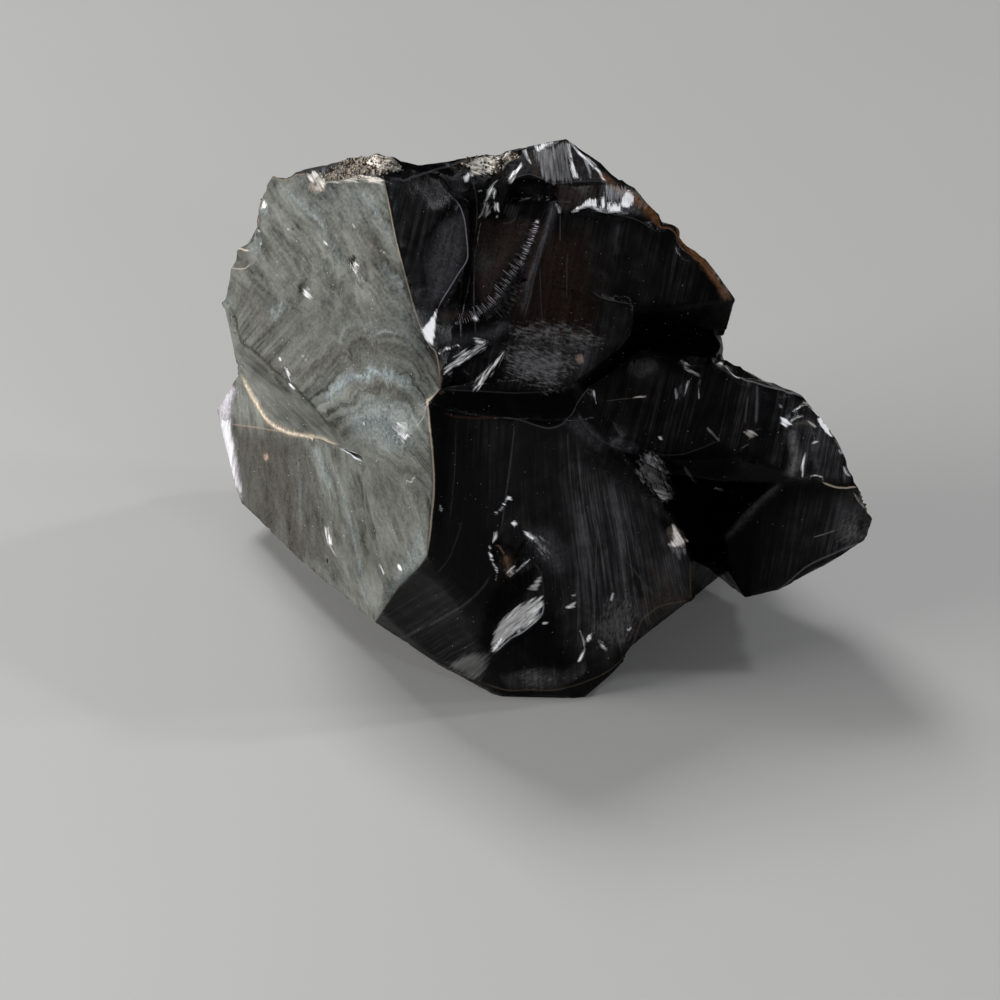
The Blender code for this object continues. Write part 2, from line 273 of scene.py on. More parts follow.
lines = {
    # the pale fog lines that follow ridges, lips and rims are painted highlights on those edges over a small
    # real rise; the fog lines across the faces are pale striae
    # points, half width in frame units, height in mm, tint, how strongly it is painted
    # left face
    "mainRidge": (((384, 180), (390, 210), (396, 240), (405, 275), (413, 305), (420, 325), (430, 345),
        (437, 355), (441, 388)), 0.7, 0.03, "cream", 0.45),
    "ridgeBrown": (((434, 350), (438, 362), (441, 388)), 1.6, 0.03, "amber", 0.45),
    "lowRidge": (((441, 388), (430, 400), (428, 405), (433, 460), (434, 490), (432, 515), (430, 535),
        (427, 555)), 0.9, 0.05, "cream", 0.6),
    "creamRidge": (((240, 373), (255, 400), (268, 420), (287, 432), (310, 436), (325, 440), (340, 448)),
        1.7, 0.16, "cream", 0.85),
    "creamEnd": (((340, 448), (350, 454), (360, 460)), 0.6, 0.06, "pale", 0.7),
    "creamBranch": (((230, 424), (255, 427), (272, 430), (287, 432)), 0.8, 0.03, "rose", 0.25),
    # the groove is real, and has painted shade in it
    "groove": (((228, 300), (240, 340), (252, 350), (265, 362), (278, 374), (290, 383), (302, 396),
        (315, 410), (330, 430), (340, 441)), 1.7, -0.22, "inkBrown", 0.75),
    "grooveShade": (((262, 352), (276, 366), (290, 374), (310, 372), (328, 366)), 5.0, -0.05, "umber", 0.5),
    "arcBlue": (((318, 400), (332, 390), (345, 381), (360, 375), (375, 373), (390, 376), (402, 382),
        (413, 393)), 4.4, 0.04, "skyGrey", 0.85),
    "arcBlueLeg": (((413, 393), (420, 402), (426, 411)), 1.6, 0.0, "skyGrey", 0.5),
    "arcBrown": (((368, 392), (380, 392), (392, 396), (404, 403)), 3.0, -0.04, "cocoa", 0.65),
    "arcDark": (((345, 392), (362, 386), (380, 386), (400, 390), (412, 400), (420, 413)),
        1.8, -0.03, "umber", 0.5),
    "arcOuterDark": (((300, 372), (320, 363), (345, 353), (370, 346), (395, 346), (414, 356),
        (430, 376)), 4.5, -0.03, "umber", 0.42),
    "arcOuterLight": (((330, 340), (350, 331), (375, 328), (400, 335), (417, 352)),
        2.5, 0.0, "skyGrey", 0.22),
    "arcThird": (((340, 318), (360, 308), (385, 306), (402, 312)), 3.0, -0.03, "umber", 0.32),
    "arcHook": (((302, 290), (308, 282), (318, 276), (326, 275)), 3.0, -0.05, "umber", 0.4),
    "arcHookTwo": (((318, 300), (322, 288), (334, 281), (346, 284), (354, 294)), 3.5, 0.0, "umber", 0.36),
    "arcFleck": (((370, 334), (382, 330), (392, 332)), 1.2, 0.0, "skyGrey", 0.5),
    "darkCurl": (((316, 425), (324, 424), (332, 427), (337, 432)), 3.0, -0.06, "inkBrown", 0.6),
    "darkHook": (((328, 418), (331, 412), (336, 410)), 2.2, -0.03, "inkBrown", 0.5),
    "slantBlue": (((276, 180), (288, 192), (300, 204), (314, 216), (326, 230)), 1.8, 0.02, "skyGrey", 0.6),
    "slantBlueTwo": (((362, 190), (374, 208), (385, 228), (392, 246)), 2.6, 0.0, "skyGrey", 0.4),
    "slantBlueThree": (((383, 262), (392, 275), (402, 290)), 2.6, 0.0, "skyGrey", 0.35),
    "slantBlueFour": (((322, 236), (334, 250), (346, 262)), 2.2, 0.0, "skyGrey", 0.35),
    "slantDark": (((344, 222), (362, 232), (380, 252), (394, 276)), 5.0, 0.0, "umber", 0.4),
    "slantDarkTwo": (((262, 232), (268, 256), (276, 276)), 4.0, 0.0, "umber", 0.3),
    "slantDarkThree": (((240, 280), (250, 304), (264, 326), (276, 338)), 3.0, 0.0, "cocoa", 0.3),
    "hookPale": (((272, 306), (275, 317), (280, 312), (281, 300)), 2.4, 0.0, "skyGrey", 0.55),
    "lobeStreakPale": (((314, 446), (320, 462), (326, 478), (331, 490)), 3.6, 0.0, "skyGrey", 0.55),
    "lobeStreakDark": (((305, 446), (313, 470), (322, 494)), 2.0, 0.0, "umber", 0.45),
    "lobeStreakTwo": (((285, 440), (288, 480), (292, 530), (298, 560)), 3.2, 0.0, "umber", 0.75),
    "lobeStreakThree": (((262, 436), (266, 480), (272, 530)), 2.2, 0.0, "cocoa", 0.5),
    "lobeStreakFour": (((297, 452), (299, 485), (301, 530)), 1.6, 0.0, "skyGrey", 0.2),
    "lobeStreakFive": (((338, 470), (350, 520), (362, 575), (370, 605)), 1.8, 0.0, "skyGrey", 0.32),
    "lobeStreakSix": (((330, 560), (345, 585), (362, 600)), 3.0, 0.0, "umber", 0.4),
    "shoulderRim": (((227, 265), (232, 254), (238, 249), (244, 250), (250, 251)), 0.9, 0.0, "cream", 0.7),
    "shoulderChip": (((231, 267), (239, 269), (246, 268), (251, 263)), 0.6, 0.03, "cream", 0.4),
    "topLeftRim": (((272, 178), (290, 175), (310, 174)), 0.8, 0.0, "rim", 0.6),
    "leftEdge": (((270, 179), (265, 188), (262, 200), (255, 216), (248, 229), (240, 241)),
        0.8, 0.0, "rim", 0.5),
    # dark strip beside the left face and its curved ridge
    # the curved ridge is a small real lip, painted pale as a highlight
    "curvedRidge": (((453, 197), (459, 206), (464, 221), (466, 236), (467, 248), (467, 257), (464, 265),
        (458, 274), (449, 289), (441, 302), (437, 312)), 0.55, 0.08, "lavender", 0.6),
    # painted shade in the crease
    "stripCrease": (((454, 198), (448, 210), (440, 221), (431, 234), (427, 242)), 2.0, -0.08, "ink", 0.95),
    "stripDark": (((421, 246), (422, 265), (423, 285), (425, 305)), 2.4, -0.03, "ink", 0.6),
    "stripTop": (((386, 176), (398, 179), (412, 177), (426, 173), (440, 168), (455, 163), (470, 160)),
        1.2, 0.04, "fog", 0.5),
    "stripTopDark": (((387, 184), (389, 200), (393, 222)), 2.2, 0.0, "inkBrown", 0.9),
    "hollowEdge": (((470, 176), (475, 190), (477, 204), (477, 220), (475, 236)), 0.7, 0.05, "fog", 0.3),
    "hollowLine": (((475, 262), (474, 285), (474, 305), (475, 322), (476, 338)), 0.8, 0.08, "fog", 0.4),
    # crown
    "fanEdgeLine": (((480, 157), (520, 149), (566, 139)), 0.9, 0.0, "fog", 0.5),
    "fanLip": (((510, 183), (515, 178), (530, 174), (545, 180), (555, 183), (580, 181), (604, 181),
        (620, 184)), 0.7, 0.08, "fog", 0.5),
    "fanBrownBand": (((528, 152), (533, 164), (536, 178)), 3.0, 0.0, "cocoa", 0.8),
    "fanBrownWedge": (((573, 152), (579, 166), (582, 178)), 2.2, 0.0, "cocoa", 0.9),
    "fanBrownTwo": (((592, 164), (596, 172), (598, 180)), 2.0, 0.0, "cocoa", 0.7),
    "hollowShelf": (((514, 199), (522, 199), (531, 198)), 0.6, 0.04, "fog", 0.8),
    "crownCurl": (((508, 196), (506, 206), (503, 214)), 0.6, 0.05, "fog", 0.4),
    "crownCurlTwo": (((516, 214), (514, 220), (509, 223), (501, 223)), 0.5, 0.05, "fog", 0.5),
    "stepBrown": (((598, 186), (598, 196), (598, 207)), 1.4, 0.0, "inkBrown", 0.9),
    "bandRidge": (((553, 200), (552, 214), (546, 234), (539, 254), (532, 274), (527, 294), (521, 316)),
        2.6, 0.06, "fog", 0.5),
    "bandRidgeEdge": (((549, 226), (541, 252), (535, 274), (530, 296), (523, 322)), 0.6, 0.04, "fog", 0.5),
    "shellBand": (((437, 342), (455, 341), (475, 337), (495, 332), (512, 322)), 4.0, 0.05, "fog", 0.35),
    "shellDark": (((450, 374), (466, 364), (482, 352), (496, 344)), 2.2, -0.05, "ink", 0.8),
    "slopeLine": (((591, 290), (600, 297), (614, 301), (632, 304)), 0.6, 0.06, "fog", 0.5),
    "slopeStreak": (((618, 224), (617, 240), (616, 256)), 1.8, 0.0, "fog", 0.3),
    "slopeStreakTwo": (((560, 214), (560, 228), (560, 242)), 0.7, 0.0, "fog", 0.5),
    "slopeStreakThree": (((567, 252), (567, 275), (567, 300)), 0.6, 0.0, "fog", 0.35),
    "slopeStreakFour": (((540, 266), (541, 300), (543, 330)), 0.6, 0.0, "fog", 0.3),
    "slopeTopLine": (((574, 213), (584, 208), (591, 207), (602, 211), (616, 215), (632, 218), (645, 224),
        (660, 234)), 0.7, 0.05, "fog", 0.35),
    "armShadeEdge": (((632, 304), (632, 318), (630, 330), (624, 342), (614, 353)), 0.7, 0.04, "fog", 0.28),
    "plateEdge": (((655, 213), (668, 230), (684, 245), (700, 262), (716, 282), (733, 300)),
        0.6, 0.08, "amber", 0.7),
    # ledge and prow
    "ledgeBrown": (((443, 413), (460, 417), (485, 418), (500, 417)), 1.1, 0.03, "orangeDark", 0.6),
    "ledgePale": (((500, 417), (520, 420), (535, 425), (548, 428), (560, 425), (570, 418)),
        0.8, 0.05, "fog", 0.5),
    "ledgeBack": (((441, 389), (480, 391), (520, 393), (560, 391)), 0.7, 0.03, "fog", 0.2),
    "prowLine": (((514, 420), (513, 440), (508, 478), (504, 506), (501, 532)), 0.9, 0.04, "fog", 0.4),
    "prowBandPale": (((611, 478), (614, 500), (619, 530), (624, 560)), 4.0, 0.0, "fog", 0.5),
    "prowHairOne": (((598, 520), (596, 560), (595, 600), (594, 640)), 0.5, 0.0, "fog", 0.5),
    "prowHairTwo": (((580, 505), (579, 560), (578, 610), (577, 636)), 0.5, 0.0, "fog", 0.35),
    "prowHairThree": (((626, 560), (640, 578), (655, 596)), 1.0, 0.0, "fog", 0.25),
    "prowHairFour": (((655, 560), (658, 580), (660, 600)), 0.6, 0.0, "fog", 0.25),
    "prowHairFive": (((456, 430), (454, 480), (450, 520)), 0.6, 0.0, "fog", 0.2),
    "prowSweep": (((425, 628), (445, 616), (466, 603), (482, 588), (492, 574)), 1.3, 0.0, "fog", 0.25),
    "prowSweepTwo": (((436, 575), (448, 560), (456, 540), (462, 520)), 1.0, 0.0, "fog", 0.15),
    "chipBrown": (((506, 556), (509, 562), (511, 570), (508, 577)), 2.6, -0.12, "amber", 0.8),
    "chipBrownTwo": (((496, 546), (501, 548), (505, 556)), 1.0, 0.05, "amber", 0.7),
    # painted shade inside the chips, over their real dents
    "chipShade": (((520, 529), (524, 540), (522, 548), (516, 556), (515, 562)), 1.8, -0.15, "ink", 0.95),
    "chipShadeTwo": (((508, 545), (512, 550), (516, 549)), 3.0, -0.1, "ink", 0.9),
    "chipPlume": (((534, 536), (546, 548), (556, 562), (566, 574)), 5.0, 0.0, "fog", 0.25),
    "chipWall": (((534, 562), (540, 572), (543, 586), (544, 596)), 0.8, 0.1, "fog", 0.25),
    "leafLow": (((544, 600), (543, 612), (536, 622), (524, 632), (508, 642), (493, 654)),
        0.8, 0.1, "pale", 0.35),
    "leafShadow": (((543, 614), (536, 628), (520, 640), (504, 650)), 2.2, 0.0, "ink", 0.8),
    "prowDarkWedge": (((632, 575), (638, 588), (643, 598)), 2.4, 0.0, "ink", 0.6),
    "prowTan": (((650, 566), (662, 580), (674, 592)), 3.5, 0.0, "cocoa", 0.6),
    "lowRim": (((478, 681), (505, 690), (530, 690), (560, 689), (600, 676), (630, 655)),
        0.8, 0.0, "rim", 0.16),
    "underRim": (((375, 622), (400, 642), (440, 664), (478, 681)), 0.9, 0.0, "fog", 0.25),
    "rightRim": (((690, 560), (690, 580), (691, 601)), 0.8, 0.0, "rim", 0.2),
    "notchRim": (((632, 655), (636, 635), (645, 615), (660, 606), (678, 602), (691, 602)),
        0.8, 0.0, "rim", 0.2),
    # arm
    "bowlScratch": (((606, 401), (622, 399), (632, 398)), 0.5, 0.0, "fog", 0.6),
    "bowlLip": (((576, 408), (585, 425), (598, 438), (616, 447), (640, 447)), 1.0, 0.12, "fog", 0.2),
    "bowlLipTwo": (((640, 447), (655, 454), (680, 455), (700, 449), (722, 440)), 0.6, 0.1, "fog", 0.18),
    "bowlBump": (((610, 446), (616, 440), (624, 441)), 2.4, 0.15, "fog", 0.7),
    "bowlEdge": (((560, 424), (572, 414), (578, 402), (590, 386)), 0.6, 0.05, "fog", 0.5),
    "armBand": (((792, 428), (794, 444), (795, 460), (790, 478)), 4.0, 0.1, "fogPale", 0.75),
    "armStreakOne": (((757, 384), (757, 400), (756, 424)), 1.4, 0.0, "fog", 0.55),
    "armStreakTwo": (((748, 395), (746, 412), (745, 425)), 1.0, 0.0, "fog", 0.4),
    "armStreakThree": (((815, 440), (814, 455), (818, 470)), 2.4, 0.05, "fog", 0.45),
    "armCream": (((822, 482), (835, 487), (848, 488), (858, 488)), 0.9, 0.05, "cream", 0.75),
    "armRimLine": (((833, 437), (842, 452), (850, 468), (858, 486)), 0.8, 0.0, "fogPale", 0.8),
    "armTopLine": (((727, 366), (740, 376), (765, 386), (803, 397), (820, 414)), 0.8, 0.0, "fogPale", 0.7),
    "armTopLip": (((792, 426), (800, 423), (809, 423), (816, 428)), 1.8, 0.05, "olive", 0.8),
    "facetArc": (((782, 482), (765, 497), (750, 512), (736, 527), (722, 541)), 3.0, 0.1, "fog", 0.32),
    "facetScratch": (((813, 537), (824, 534), (836, 530)), 0.5, 0.0, "fogPale", 0.8),
    "facetEdge": (((745, 597), (778, 589), (810, 564), (850, 547), (866, 541)), 0.9, 0.0, "fog", 0.8),
    "facetRim": (((858, 489), (866, 505), (871, 518), (868, 540)), 1.6, 0.0, "olive", 0.8),
    "armShadeRightEdge": (((733, 302), (730, 320), (726, 335), (724, 352)), 1.0, 0.0, "fog", 0.6),
    "recessLine": (((684, 466), (690, 476), (697, 484)), 1.5, 0.0, "fog", 0.45),
}

patches = {
    # outline, how soft its edge is in frame units, height in mm, tint, how strongly it is painted
    # painted sheen on the narrow bevel at the left edge
    "bevelSheen": (((217, 410), (224, 396), (232, 386), (236, 388), (231, 404), (230, 425), (235, 450),
        (240, 475), (243, 500), (238, 498), (228, 465)), 2.5, 0.0, "lavender", 0.75),
    "glossSliver": (((275, 177), (300, 170), (345, 160), (350, 163), (330, 169), (312, 174), (290, 176)),
        1.5, 0.0, "mist", 0.9),
    "crust": (((322, 175), (335, 167), (352, 158), (376, 153), (390, 160), (402, 169), (385, 172),
        (378, 175), (345, 178), (325, 181)), 1.5, 0.12, "crust", 1.0),
    "crustRight": (((452, 166), (470, 158), (500, 154), (512, 150), (520, 157), (508, 163), (497, 173),
        (478, 176), (470, 168)), 2.5, 0.08, "crust", 0.9),
    "highlightSide": (((416, 308), (430, 312), (430, 342), (422, 334)), 4.0, 0.0, "fog", 0.7),
    "stripGrey": (((440, 225), (462, 215), (464, 250), (455, 275), (440, 297), (430, 300), (428, 262)),
        8.0, 0.0, "fog", 0.7),
    "stripVeil": (((386, 182), (440, 178), (450, 200), (428, 240), (420, 300), (405, 270)),
        5.0, 0.0, "veil", 0.42),
    "stripLow": (((412, 292), (436, 296), (434, 318), (422, 326)), 6.0, 0.0, "mist", 0.6),
    "stripPurple": (((450, 178), (464, 180), (462, 198), (452, 196)), 4.0, 0.05, "mist", 0.5),
    # painted shade in the hollow beside the curved ridge
    "hollowShade": (((468, 196), (474, 203), (475, 250), (468, 300), (446, 306), (456, 288), (468, 262),
        (469, 230)), 2.5, 0.0, "ink", 0.97),
    "hollowBrown": (((478, 218), (528, 222), (516, 250), (500, 280), (484, 306), (476, 270)),
        7.0, 0.0, "cocoa", 0.65),
    "hollowMist": (((474, 250), (488, 252), (494, 266), (486, 274), (476, 270)), 7.0, 0.0, "mist", 0.6),
    "hollowVeil": (((500, 182), (540, 185), (535, 222), (505, 222), (496, 200)), 5.0, 0.0, "veil", 0.3),
    "fanFloor": (((442, 338), (500, 322), (506, 345), (476, 388), (443, 388)), 5.0, 0.0, "veil", 0.35),
    "fanBrown": (((440, 311), (470, 311), (468, 318), (440, 320)), 3.0, 0.0, "cocoa", 0.7),
    "topFan": (((512, 178), (524, 150), (566, 142), (600, 170), (626, 184), (580, 182), (545, 180),
        (530, 172)), 3.0, 0.0, "mist", 0.7),
    # painted shade in the round hollow, over a small real dent
    "roundHollow": (((513, 183), (524, 176), (537, 176), (548, 184), (548, 204), (534, 222), (518, 214),
        (512, 198)), 3.0, -0.12, "ink", 0.8),
    "stepBrown": (((558, 185), (600, 184), (598, 198), (585, 201), (570, 210), (560, 206)),
        3.0, 0.0, "cocoa", 0.75),
    "stepVeil": (((560, 184), (604, 183), (634, 187), (640, 212), (610, 211), (590, 203), (560, 212)),
        3.0, 0.0, "veil", 1.0),
    "stepLow": (((600, 206), (636, 206), (644, 214), (620, 214)), 2.5, 0.0, "fog", 0.7),
    "rimBrown": (((600, 171), (616, 182), (634, 192), (652, 207), (668, 228), (660, 228), (646, 214),
        (630, 200), (612, 188), (600, 178)), 2.0, 0.0, "orange", 0.9),
    "slopeBrown": (((546, 235), (585, 235), (592, 300), (586, 335), (522, 334), (524, 310)),
        22.0, 0.0, "brown", 0.95),
    "slopeVeil": (((560, 216), (640, 222), (700, 265), (700, 298), (634, 300), (590, 290)),
        16.0, 0.0, "veil", 0.2),
    "slopeVeilBrown": (((525, 230), (590, 230), (600, 330), (520, 330)), 14.0, 0.0, "veil", 0.2),
    "slopeCloud": (((515, 338), (600, 334), (604, 352), (585, 374), (556, 386), (508, 380)),
        14.0, 0.02, "veil", 0.95),
    "slopeGrey": (((604, 302), (632, 306), (628, 330), (614, 348), (600, 346), (598, 316)),
        7.0, 0.0, "veil", 0.6),
    "roundSpot": (((577, 354), (582, 354), (584, 358), (583, 363), (578, 364), (575, 360)),
        1.0, 0.03, "rose", 0.55),
    "plate": (((672, 226), (681, 226), (697, 247), (713, 270), (728, 296), (722, 294), (700, 265),
        (688, 246), (674, 233)), 1.8, 0.12, "orange", 1.0),
    "plateEnd": (((718, 290), (728, 288), (733, 300), (724, 300)), 1.5, 0.0, "amber", 0.6),
    # painted shade: the hollow top of the arm kept black
    "armShade": (((634, 304), (727, 306), (726, 330), (720, 345), (700, 352), (680, 372), (640, 372),
        (600, 372), (612, 358), (626, 342)), 6.0, 0.0, "ink", 0.8),
    # painted shade: the ledge kept black, as no light reaches it from above
    "ledge": (((441, 391), (572, 391), (577, 404), (562, 424), (545, 427), (500, 416), (432, 409)),
        1.5, 0.0, "ink", 0.97),
    # painted shade down the left of the prow, beside the ridge
    "prowShade": (((436, 412), (452, 416), (448, 500), (436, 545), (434, 480)), 8.0, 0.0, "ink", 0.8),
    "prowSmoke": (((524, 528), (552, 530), (570, 555), (560, 575), (540, 560), (530, 545)),
        9.0, 0.05, "mist", 0.85),
    "prowHaze": (((476, 424), (563, 432), (566, 600), (520, 560), (500, 520), (486, 520)),
        16.0, 0.0, "veil", 0.24),
    "prowVeil": (((560, 430), (615, 484), (655, 502), (686, 550), (690, 598), (640, 630), (600, 665),
        (566, 640), (566, 560), (556, 480)), 16.0, 0.0, "veil", 0.8),
    "prowVeilMiddle": (((486, 424), (560, 430), (570, 520), (560, 600), (530, 600), (500, 500)),
        20.0, 0.0, "veil", 0.3),
    "prowVeilRight": (((600, 490), (650, 505), (680, 552), (688, 596), (640, 606), (620, 560)),
        14.0, 0.0, "veil", 1.0),
    "prowVeilLow": (((600, 600), (640, 605), (634, 640), (600, 666), (580, 640)), 12.0, 0.0, "veil", 0.9),
    # painted shade and painted light on the pale side, where its curve turns it away from or towards the
    # light from the left
    "leftShade": (((230, 290), (290, 300), (350, 310), (400, 330), (395, 360), (290, 378), (250, 345)),
        24.0, 0.0, "umber", 0.36),
    "leftShadeTwo": (((330, 222), (384, 236), (398, 276), (360, 262)), 14.0, 0.0, "umber", 0.32),
    "leftShadeThree": (((250, 250), (300, 245), (310, 285), (270, 292)), 18.0, 0.0, "umber", 0.16),
    "leftPaintedLight": (((300, 186), (384, 184), (396, 232), (350, 222), (300, 200)), 16.0, 0.0, "skyGrey", 0.1),
    "leftPaintedLightTwo": (((384, 252), (398, 290), (416, 345), (414, 366), (396, 330)), 7.0, 0.0, "skyGrey", 0.12),
    "leftCore": (((346, 412), (360, 402), (382, 400), (404, 408), (414, 425), (410, 446), (385, 446),
        (356, 436)), 9.0, 0.0, "skyGrey", 0.45),
    "coreDark": (((330, 424), (352, 440), (372, 456), (392, 462), (372, 470), (350, 456)),
        8.0, 0.0, "umber", 0.3),
    # painted shade along the groove and on the lower left lobe
    "sliverShade": (((246, 350), (300, 396), (336, 436), (310, 430), (270, 402)), 9.0, 0.0, "umber", 0.34),
    "lobeShade": (((226, 420), (300, 436), (334, 560), (300, 566), (236, 520)), 16.0, 0.0, "umber", 0.8),
    "legShade": (((340, 460), (420, 470), (426, 540), (380, 610), (345, 590)), 20.0, 0.0, "umber", 0.24),
    "bowlVeil": (((590, 378), (640, 372), (700, 372), (740, 380), (780, 400), (776, 436), (700, 446),
        (620, 440), (585, 415)), 14.0, 0.0, "veil", 0.2),
    "bowlVeilRight": (((730, 380), (790, 396), (784, 470), (740, 474), (720, 440)), 12.0, 0.0, "veil", 0.22),
    "tipVeil": (((788, 395), (830, 430), (852, 480), (800, 478), (785, 430)), 8.0, 0.0, "veil", 1.0),
    # painted shade under the arm's overhanging lip
    "underStrip": (((652, 456), (700, 452), (724, 443), (740, 470), (720, 480), (668, 474)),
        5.0, 0.0, "ink", 1.0),
    "underStripEnd": (((700, 458), (745, 448), (784, 470), (788, 480), (700, 480)), 6.0, 0.0, "ink", 0.6),
    # painted shade in the deep recess under the arm
    "recess": (((640, 505), (720, 545), (745, 596), (690, 606), (690, 560)), 5.0, 0.0, "ink", 1.0),
    # painted shade in the hollow above the leaf scar
    "leafRecessShade": (((503, 578), (520, 574), (534, 568), (534, 588), (516, 602), (500, 618), (491, 640),
        (487, 655), (480, 640), (483, 618), (490, 598)), 3.0, 0.0, "ink", 0.95),
    # painted shade on the low faces below the leaf scar, which look down
    "belowLeaf": (((498, 656), (512, 644), (540, 622), (560, 612), (572, 640), (566, 668), (530, 672),
        (500, 672), (490, 666)), 8.0, 0.0, "ink", 0.65),
    "underVeil": (((386, 612), (440, 580), (478, 620), (486, 655), (478, 678), (400, 640)),
        10.0, 0.0, "veil", 0.15),
    "lowRough": (((500, 676), (540, 670), (575, 676), (560, 689), (510, 689)), 4.0, 0.1, "mist", 0.5),
    "rightLow": (((640, 602), (660, 592), (690, 596), (688, 603), (650, 612)), 4.0, 0.0, "cocoa", 0.8),
    "bevelTriangle": (((422, 528), (426, 558), (400, 586), (378, 606), (390, 585)), 2.5, 0.0, "skyGrey", 0.4),
    "bowlRough": (((564, 424), (578, 416), (606, 440), (600, 452), (580, 440)), 4.0, 0.1, "mist", 0.6),
    "facetVeil": (((800, 500), (850, 492), (868, 520), (866, 540), (810, 563), (778, 586), (760, 590),
        (785, 540)), 18.0, 0.0, "veil", 0.3),
    # painted shade under the arm, on the upper part of the tip's facet
    "facetShade": (((722, 486), (800, 482), (850, 490), (800, 500), (770, 520), (745, 590), (728, 570),
        (726, 535)), 10.0, 0.0, "ink", 0.7),
    "facetOlive": (((838, 500), (866, 508), (870, 535), (850, 546), (834, 530)), 8.0, 0.0, "mist", 0.7),
    # painted shade in the pits, over their small real dents
    "edgePit": (((858, 522), (862, 520), (864, 529), (860, 532)), 1.0, -0.3, "ink", 0.9),
    "pitOne": (((302, 290), (305, 286), (308, 287), (304, 293)), 1.2, -0.3, "umber", 0.7),
    "pitTwo": (((349, 259), (353, 257), (356, 260), (350, 264)), 1.2, -0.3, "inkBrown", 0.7),
    "pinkDot": (((264, 455), (267, 454), (269, 458), (265, 461)), 1.2, 0.05, "rose", 0.9),
    "shoulderFloor": (((230, 264), (236, 254), (248, 254), (252, 260), (246, 266), (238, 268)),
        2.0, -0.1, "umber", 0.25),
}

